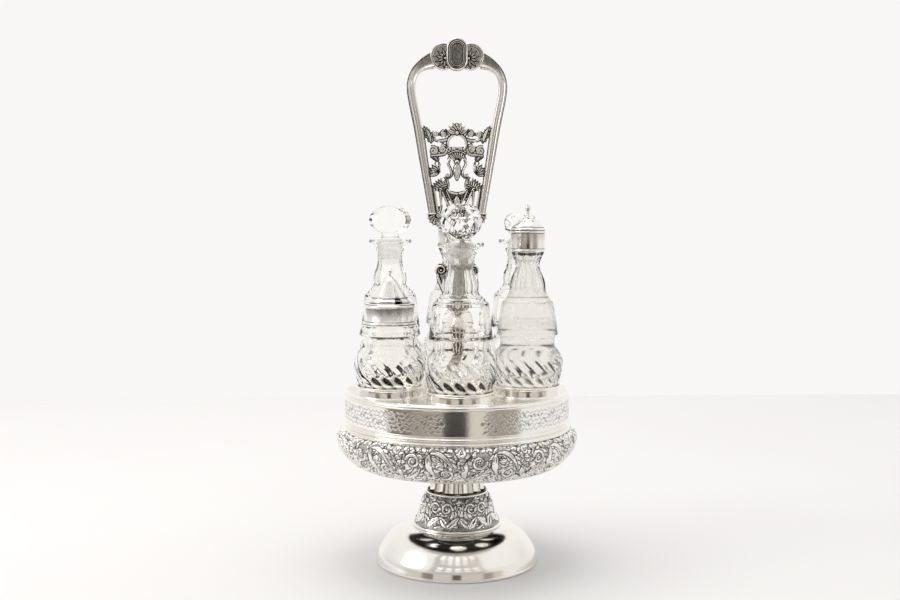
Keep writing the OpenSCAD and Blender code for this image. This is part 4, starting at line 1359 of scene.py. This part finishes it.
def along_hinge(profile, offset, name):
    """A small turned part whose axis is the hinge's, offset mm along it."""
    place, axis = hinge_place()
    mesh = turned(name, profile, columns=32, closed=bool(profile[0, 0] > 0))
    across = Vector(axis).to_track_quat("Z", "X").to_matrix().to_4x4()
    across.translation = Vector((place + axis * offset) * MM)
    mesh.transform(across)
    return mesh


def hinge_inward():
    """The level direction from the lid's hinge towards the middle of the pot."""
    place, _ = hinge_place()
    inward = np.array([*(middle_of("mustard_jar") - place[:2]), 0])
    return inward / np.linalg.norm(inward)


def knuckle(bore):
    """Profile of one knuckle of the lid's hinge."""
    return chain((bore, -1.35), (1.5, -1.35), (1.7, -1.15), (1.7, 1.15), (1.5, 1.35), (bore, 1.35))


def make_mustard_collar():
    """The pot's silver collar, with the two outer knuckles of the hinge."""
    pot = middle_of("mustard_jar")
    bottom, top = box_mm("mustard_collar")[0][2], box_mm("mustard_lid")[0][2] - 0.4
    inner = 17.1
    profile = chain(
        (inner, bottom), (19.5, bottom), arc((19.5, bottom + 1.2), 1.0, -70, 70, 10),
        (18.9, bottom + 2.4), (18.5, bottom + 3), (18.2, bottom + 3.5), (18.2, top - 3.9),
        (18.5, top - 3.5), arc((18.4, top - 2.2), 1.0, -60, 60, 8), (18.3, top - 0.9),
        (17.8, top - 0.3), (17, top), (14.4, top), (14.4, top - 1.4), (inner, top - 2.2))
    (place, axis), inward = hinge_place(), hinge_inward()
    parts = [turned("mustard_collar_body", profile, pot, 128)]
    for offset in (-3, 3):
        parts.append(along_hinge(knuckle(0.8), offset, "knuckle"))
    for offset in (-3, 3):
        at = place + axis * offset + inward * 0.9 - (0, 0, 1.7)
        parts.append(strap(at, inward, 1.3, 1.3, 1.1))
    mesh = merge(parts)
    finish_edges(mesh)
    lining = np.array([(inner + 0.2, bottom), (inner + 0.2, top - 1), (14.6, top + 0.1)])
    darken(mesh, pot, (bottom + 2.5, top - 3.7, top - 0.9), lining)
    piece("mustard_collar_spun", mesh, "mustard_pot", CHASED, "bottle_silver", "mustard_collar")


def make_mustard_lid():
    """A tall domed lid with a notch for the spoon, and the hinge's middle knuckle."""
    pot = middle_of("mustard_jar")
    low, high = box_mm("mustard_lid")
    bottom, top, r = low[2], high[2], 15.2
    dome = curve([(13.6, 210), (12.7, 211.1), (11.5, 213), (9.2, 216.6), (6.8, 220.4),
                  (4.6, 223.4), (2.6, top)])
    under = curve([(2.8, 222.8), (5.4, 219.6), (8, 215.4), (10.6, 211.4), (12.4, 209.4)], 5)
    profile = chain((r - 0.9, bottom), (r - 0.2, bottom),
                    arc((r - 0.7, bottom + 1.1), 0.9, -60, 80, 9), (r - 1.1, bottom + 2.3), dome,
                    (0, top), (0, top - 2.2), under, (r - 0.9, bottom + 1.8))
    (place, _), inward = hinge_place(), hinge_inward()
    notch = turned("notch", chain((0, bottom - 1), (3, bottom - 1), (3, bottom + 8),
                                  (0, bottom + 8)),
                   np.array(pot) + inward[:2] * r, 40, closed=False)
    lid = boolean(turned("mustard_lid_body", profile, pot, 128), [notch], "DIFFERENCE")
    tongue = strap(place + inward * 2.9 - (0, 0, 0.4), inward, 1.9, 1.2, 0.7)
    mesh = merge([lid, along_hinge(knuckle(0.85), 0, "lid_knuckle"), tongue])
    finish_edges(mesh)
    lining = np.array([(14.4, bottom), (12.8, 209.8), (11, 211.8), (8.4, 215.8), (5.8, 220),
                       (3.1, 223.1), (0.1, 223.6)])
    darken(mesh, pot, (210.2,), lining)
    piece("mustard_lid_spun", mesh, "pot_lid", CHASED, "bottle_silver", "mustard_lid")
    finial("lid_finial", "pot_lid")


def strap(centre, ahead, length, width, height):
    """A small block with softened edges, half sizes along ahead, across it and up."""
    bm = bmesh.new()
    bmesh.ops.create_cube(bm, size=2)
    side = np.cross((0, 0, 1), ahead)
    for v in bm.verts:
        v.co = Vector((np.array(centre) + v.co.x * length * ahead + v.co.y * width * side
                       + v.co.z * height * np.array((0, 0, 1))) * MM)
    bmesh.ops.bevel(bm, geom=bm.edges[:], offset=0.25 * MM, segments=2, affect="EDGES")
    mesh = bpy.data.meshes.new("strap")
    bm.to_mesh(mesh)
    bm.free()
    return mesh


def finish_edges(mesh):
    mesh.shade_smooth()
    mesh.set_sharp_from_angle(angle=math.radians(35))


def dress_plain_nodes():
    """Materials for the CAD nodes whose own shape is shown."""
    looks = {SATIN: ["deck", "lid_hinge_pin"], FLOOR: ["bottle_floor"],
             BRASS: ["bearing_hub", "tie_rod", "base_washer", "base_nut", "centre_spacer"]}
    for material, names in looks.items():
        for name in names:
            for slot in frame["nodes"][name].material_slots:
                slot.material = material


# ---------------------------------------------------------------- studio


def between(tree, value, low, high, soft):
    """1 where value is between low and high, with soft ends."""
    edges = []
    for edge, start, end in ((low, 0.0, 1.0), (high, 1.0, 0.0)):
        edges.append(node(tree, "ShaderNodeMapRange", {
            "Value": value, "From Min": edge - soft, "From Max": edge + soft,
            "To Min": start, "To Max": end}, interpolation_type="SMOOTHSTEP").outputs[0])
    return calc(tree, "MULTIPLY", *edges)


def mix(tree, factor, a, b):
    """Goes from colour a to colour b. Each is a socket or three numbers."""
    n = node(tree, "ShaderNodeMix", {"Factor": factor}, data_type="RGBA")
    for socket, value in ((n.inputs[6], a), (n.inputs[7], b)):
        if isinstance(value, bpy.types.NodeSocket):
            tree.links.new(value, socket)
        else:
            socket.default_value = (*value, 1)
    return n.outputs[2]


def room():
    """What reflections meet, painted in order: azimuths from the front, heights, edges, colour."""
    yield (0.9, 2.6), (-0.7, 0.3), (0.2, 0.05), (0.88, 0.87, 0.84)
    for back in ((2.35, 3.5), (-3.5, -2.35)):
        yield back, (-0.7, 0.9), (0.3, 0.05), (0.98, 0.97, 0.96)
    yield (-0.8, 0.7), (0.05, 0.93), (0.1, 0.05), (0.56, 0.545, 0.52)
    for left in (-0.62, -0.36, -0.1, 0.16, 0.42):
        for low in (0.42, 0.6, 0.77):
            yield (left, left + 0.17), (low, low + 0.1), (0.01, 0.01), (1.15, 1.15, 1.13)
    upper = (((-1.4, 1.1), 0.08, (0.62, 0.58, 0.52)), ((-0.9, -0.62), 0.02, (0.26, 0.22, 0.19)),
             ((-0.16, 0.06), 0.02, (0.1, 0.095, 0.09)), ((0.6, 0.85), 0.02, (0.3, 0.27, 0.24)))
    for azimuths, soft, colour in upper:
        yield azimuths, (-0.12, 0.14), (soft, 0.03), colour
    lower = (((-1.4, 1.1), 0.08, (0.36, 0.32, 0.27)), ((-1.4, -0.85), 0.03, (0.22, 0.18, 0.145)),
             ((-0.28, 0.125), 0.02, (0.05, 0.048, 0.045)), ((0.17, 0.48), 0.02, (0.66, 0.63, 0.54)))
    for azimuths, soft, colour in lower:
        yield azimuths, (-0.7, -0.13), (soft, 0.01), colour


def world_light():
    """Pale to the camera. To reflections: a bright studio with a dim room behind the camera."""
    world = bpy.data.worlds.new("studio")
    bpy.context.scene.world = world
    world.use_nodes = True
    tree = world.node_tree
    tree.nodes.clear()
    way = node(tree, "ShaderNodeTexCoord").outputs["Generated"]
    axes = node(tree, "ShaderNodeSeparateXYZ", {0: way}).outputs
    azimuth = calc(tree, "ARCTAN2", axes["X"], calc(tree, "MULTIPLY", axes["Y"], -1.0))
    height = node(tree, "ShaderNodeMapRange", {"Value": axes["Z"], "From Min": 0.05,
                  "From Max": 0.6}, interpolation_type="SMOOTHSTEP").outputs[0]
    colour = mix(tree, height, (0.76, 0.745, 0.715), (0.95, 0.945, 0.93))
    for azimuths, heights, (soft, blur), painted in room():
        across = between(tree, azimuth, *azimuths, soft)
        zone = calc(tree, "MULTIPLY", across, between(tree, axes["Z"], *heights, blur))
        colour = mix(tree, zone, colour, painted)
    seen = node(tree, "ShaderNodeBackground", {"Color": (0.94, 0.93, 0.925, 1), "Strength": 1.0})
    lit = node(tree, "ShaderNodeBackground", {"Color": colour, "Strength": 1.0})
    ray = node(tree, "ShaderNodeLightPath").outputs["Is Camera Ray"]
    both = node(tree, "ShaderNodeMixShader", {0: ray, 1: lit.outputs[0], 2: seen.outputs[0]})
    node(tree, "ShaderNodeOutputWorld", {"Surface": both.outputs[0]})


def softbox(name, place, size, watts, target=(0, 0, 0.2)):
    light = bpy.data.lights.new(name, "AREA")
    light.shape, light.size, light.energy = "DISK", size, watts
    light.color = (1.0, 0.985, 0.96)
    obj = bpy.data.objects.new(name, light)
    bpy.context.scene.collection.objects.link(obj)
    obj.location = place
    obj.rotation_euler = (Vector(target) - Vector(place)).to_track_quat("-Z", "Y").to_euler()


def studio():
    material, tree, shader = new_material("table_white", Roughness=0.45)
    shader.inputs["Specular IOR Level"].default_value = 0.25
    tree.links.new(ramp(tree, noise(tree, 3, 3), (0.3, (0.83, 0.815, 0.82)),
                        (0.7, (0.85, 0.84, 0.84))), shader.inputs["Base Color"])
    side, near, far = 0.85, -0.22, 0.8
    corners = [(-side, near, 0), (side, near, 0), (side, far, 0), (-side, far, 0)]
    mesh = bpy.data.meshes.new("table")
    mesh.from_pydata(corners, [], [(0, 1, 2, 3)])
    mesh.materials.append(material)
    table = bpy.data.objects.new("table", mesh)
    bpy.context.scene.collection.objects.link(table)
    world_light()
    softbox("overhead", (-0.2, 0.2, 1.7), 1.3, 7)
    softbox("left", (-1.3, -0.3, 0.9), 0.9, 4)
    bpy.context.scene.view_settings.view_transform = "Standard"


def camera():
    """The camera stands a little to the left of the front, looking slightly down."""
    distance, height, swing, aside = 0.916, 0.277, math.radians(2.4), -0.0054
    pitch = math.radians(4.46)
    data = bpy.data.cameras.new("camera")
    data.lens, data.sensor_width = 47.2, 36
    data.clip_start = 0.05
    obj = bpy.data.objects.new("camera", data)
    bpy.context.scene.collection.objects.link(obj)
    right = Vector((math.cos(swing), -math.sin(swing), 0))
    ahead = Vector((math.sin(swing), math.cos(swing), 0))
    obj.location = -distance * ahead + aside * right + Vector((0, 0, height))
    obj.rotation_euler = (math.pi / 2 - pitch, 0, -swing)
    bpy.context.scene.camera = obj


camera()
make_foot()
make_collar()
make_collar_rings()
make_neck()
make_gallery()
make_drum()
make_rings()
make_post()
make_volutes()
make_yoke()
make_bars()
make_panel()
make_palmettes()
make_cartouche()
make_shells()
make_cruets()
make_shakers()
make_mustard_jar()
make_front_stopper()
make_left_stopper()
make_right_stopper()
make_caps()
make_mustard_collar()
make_mustard_lid()
dress_plain_nodes()
studio()
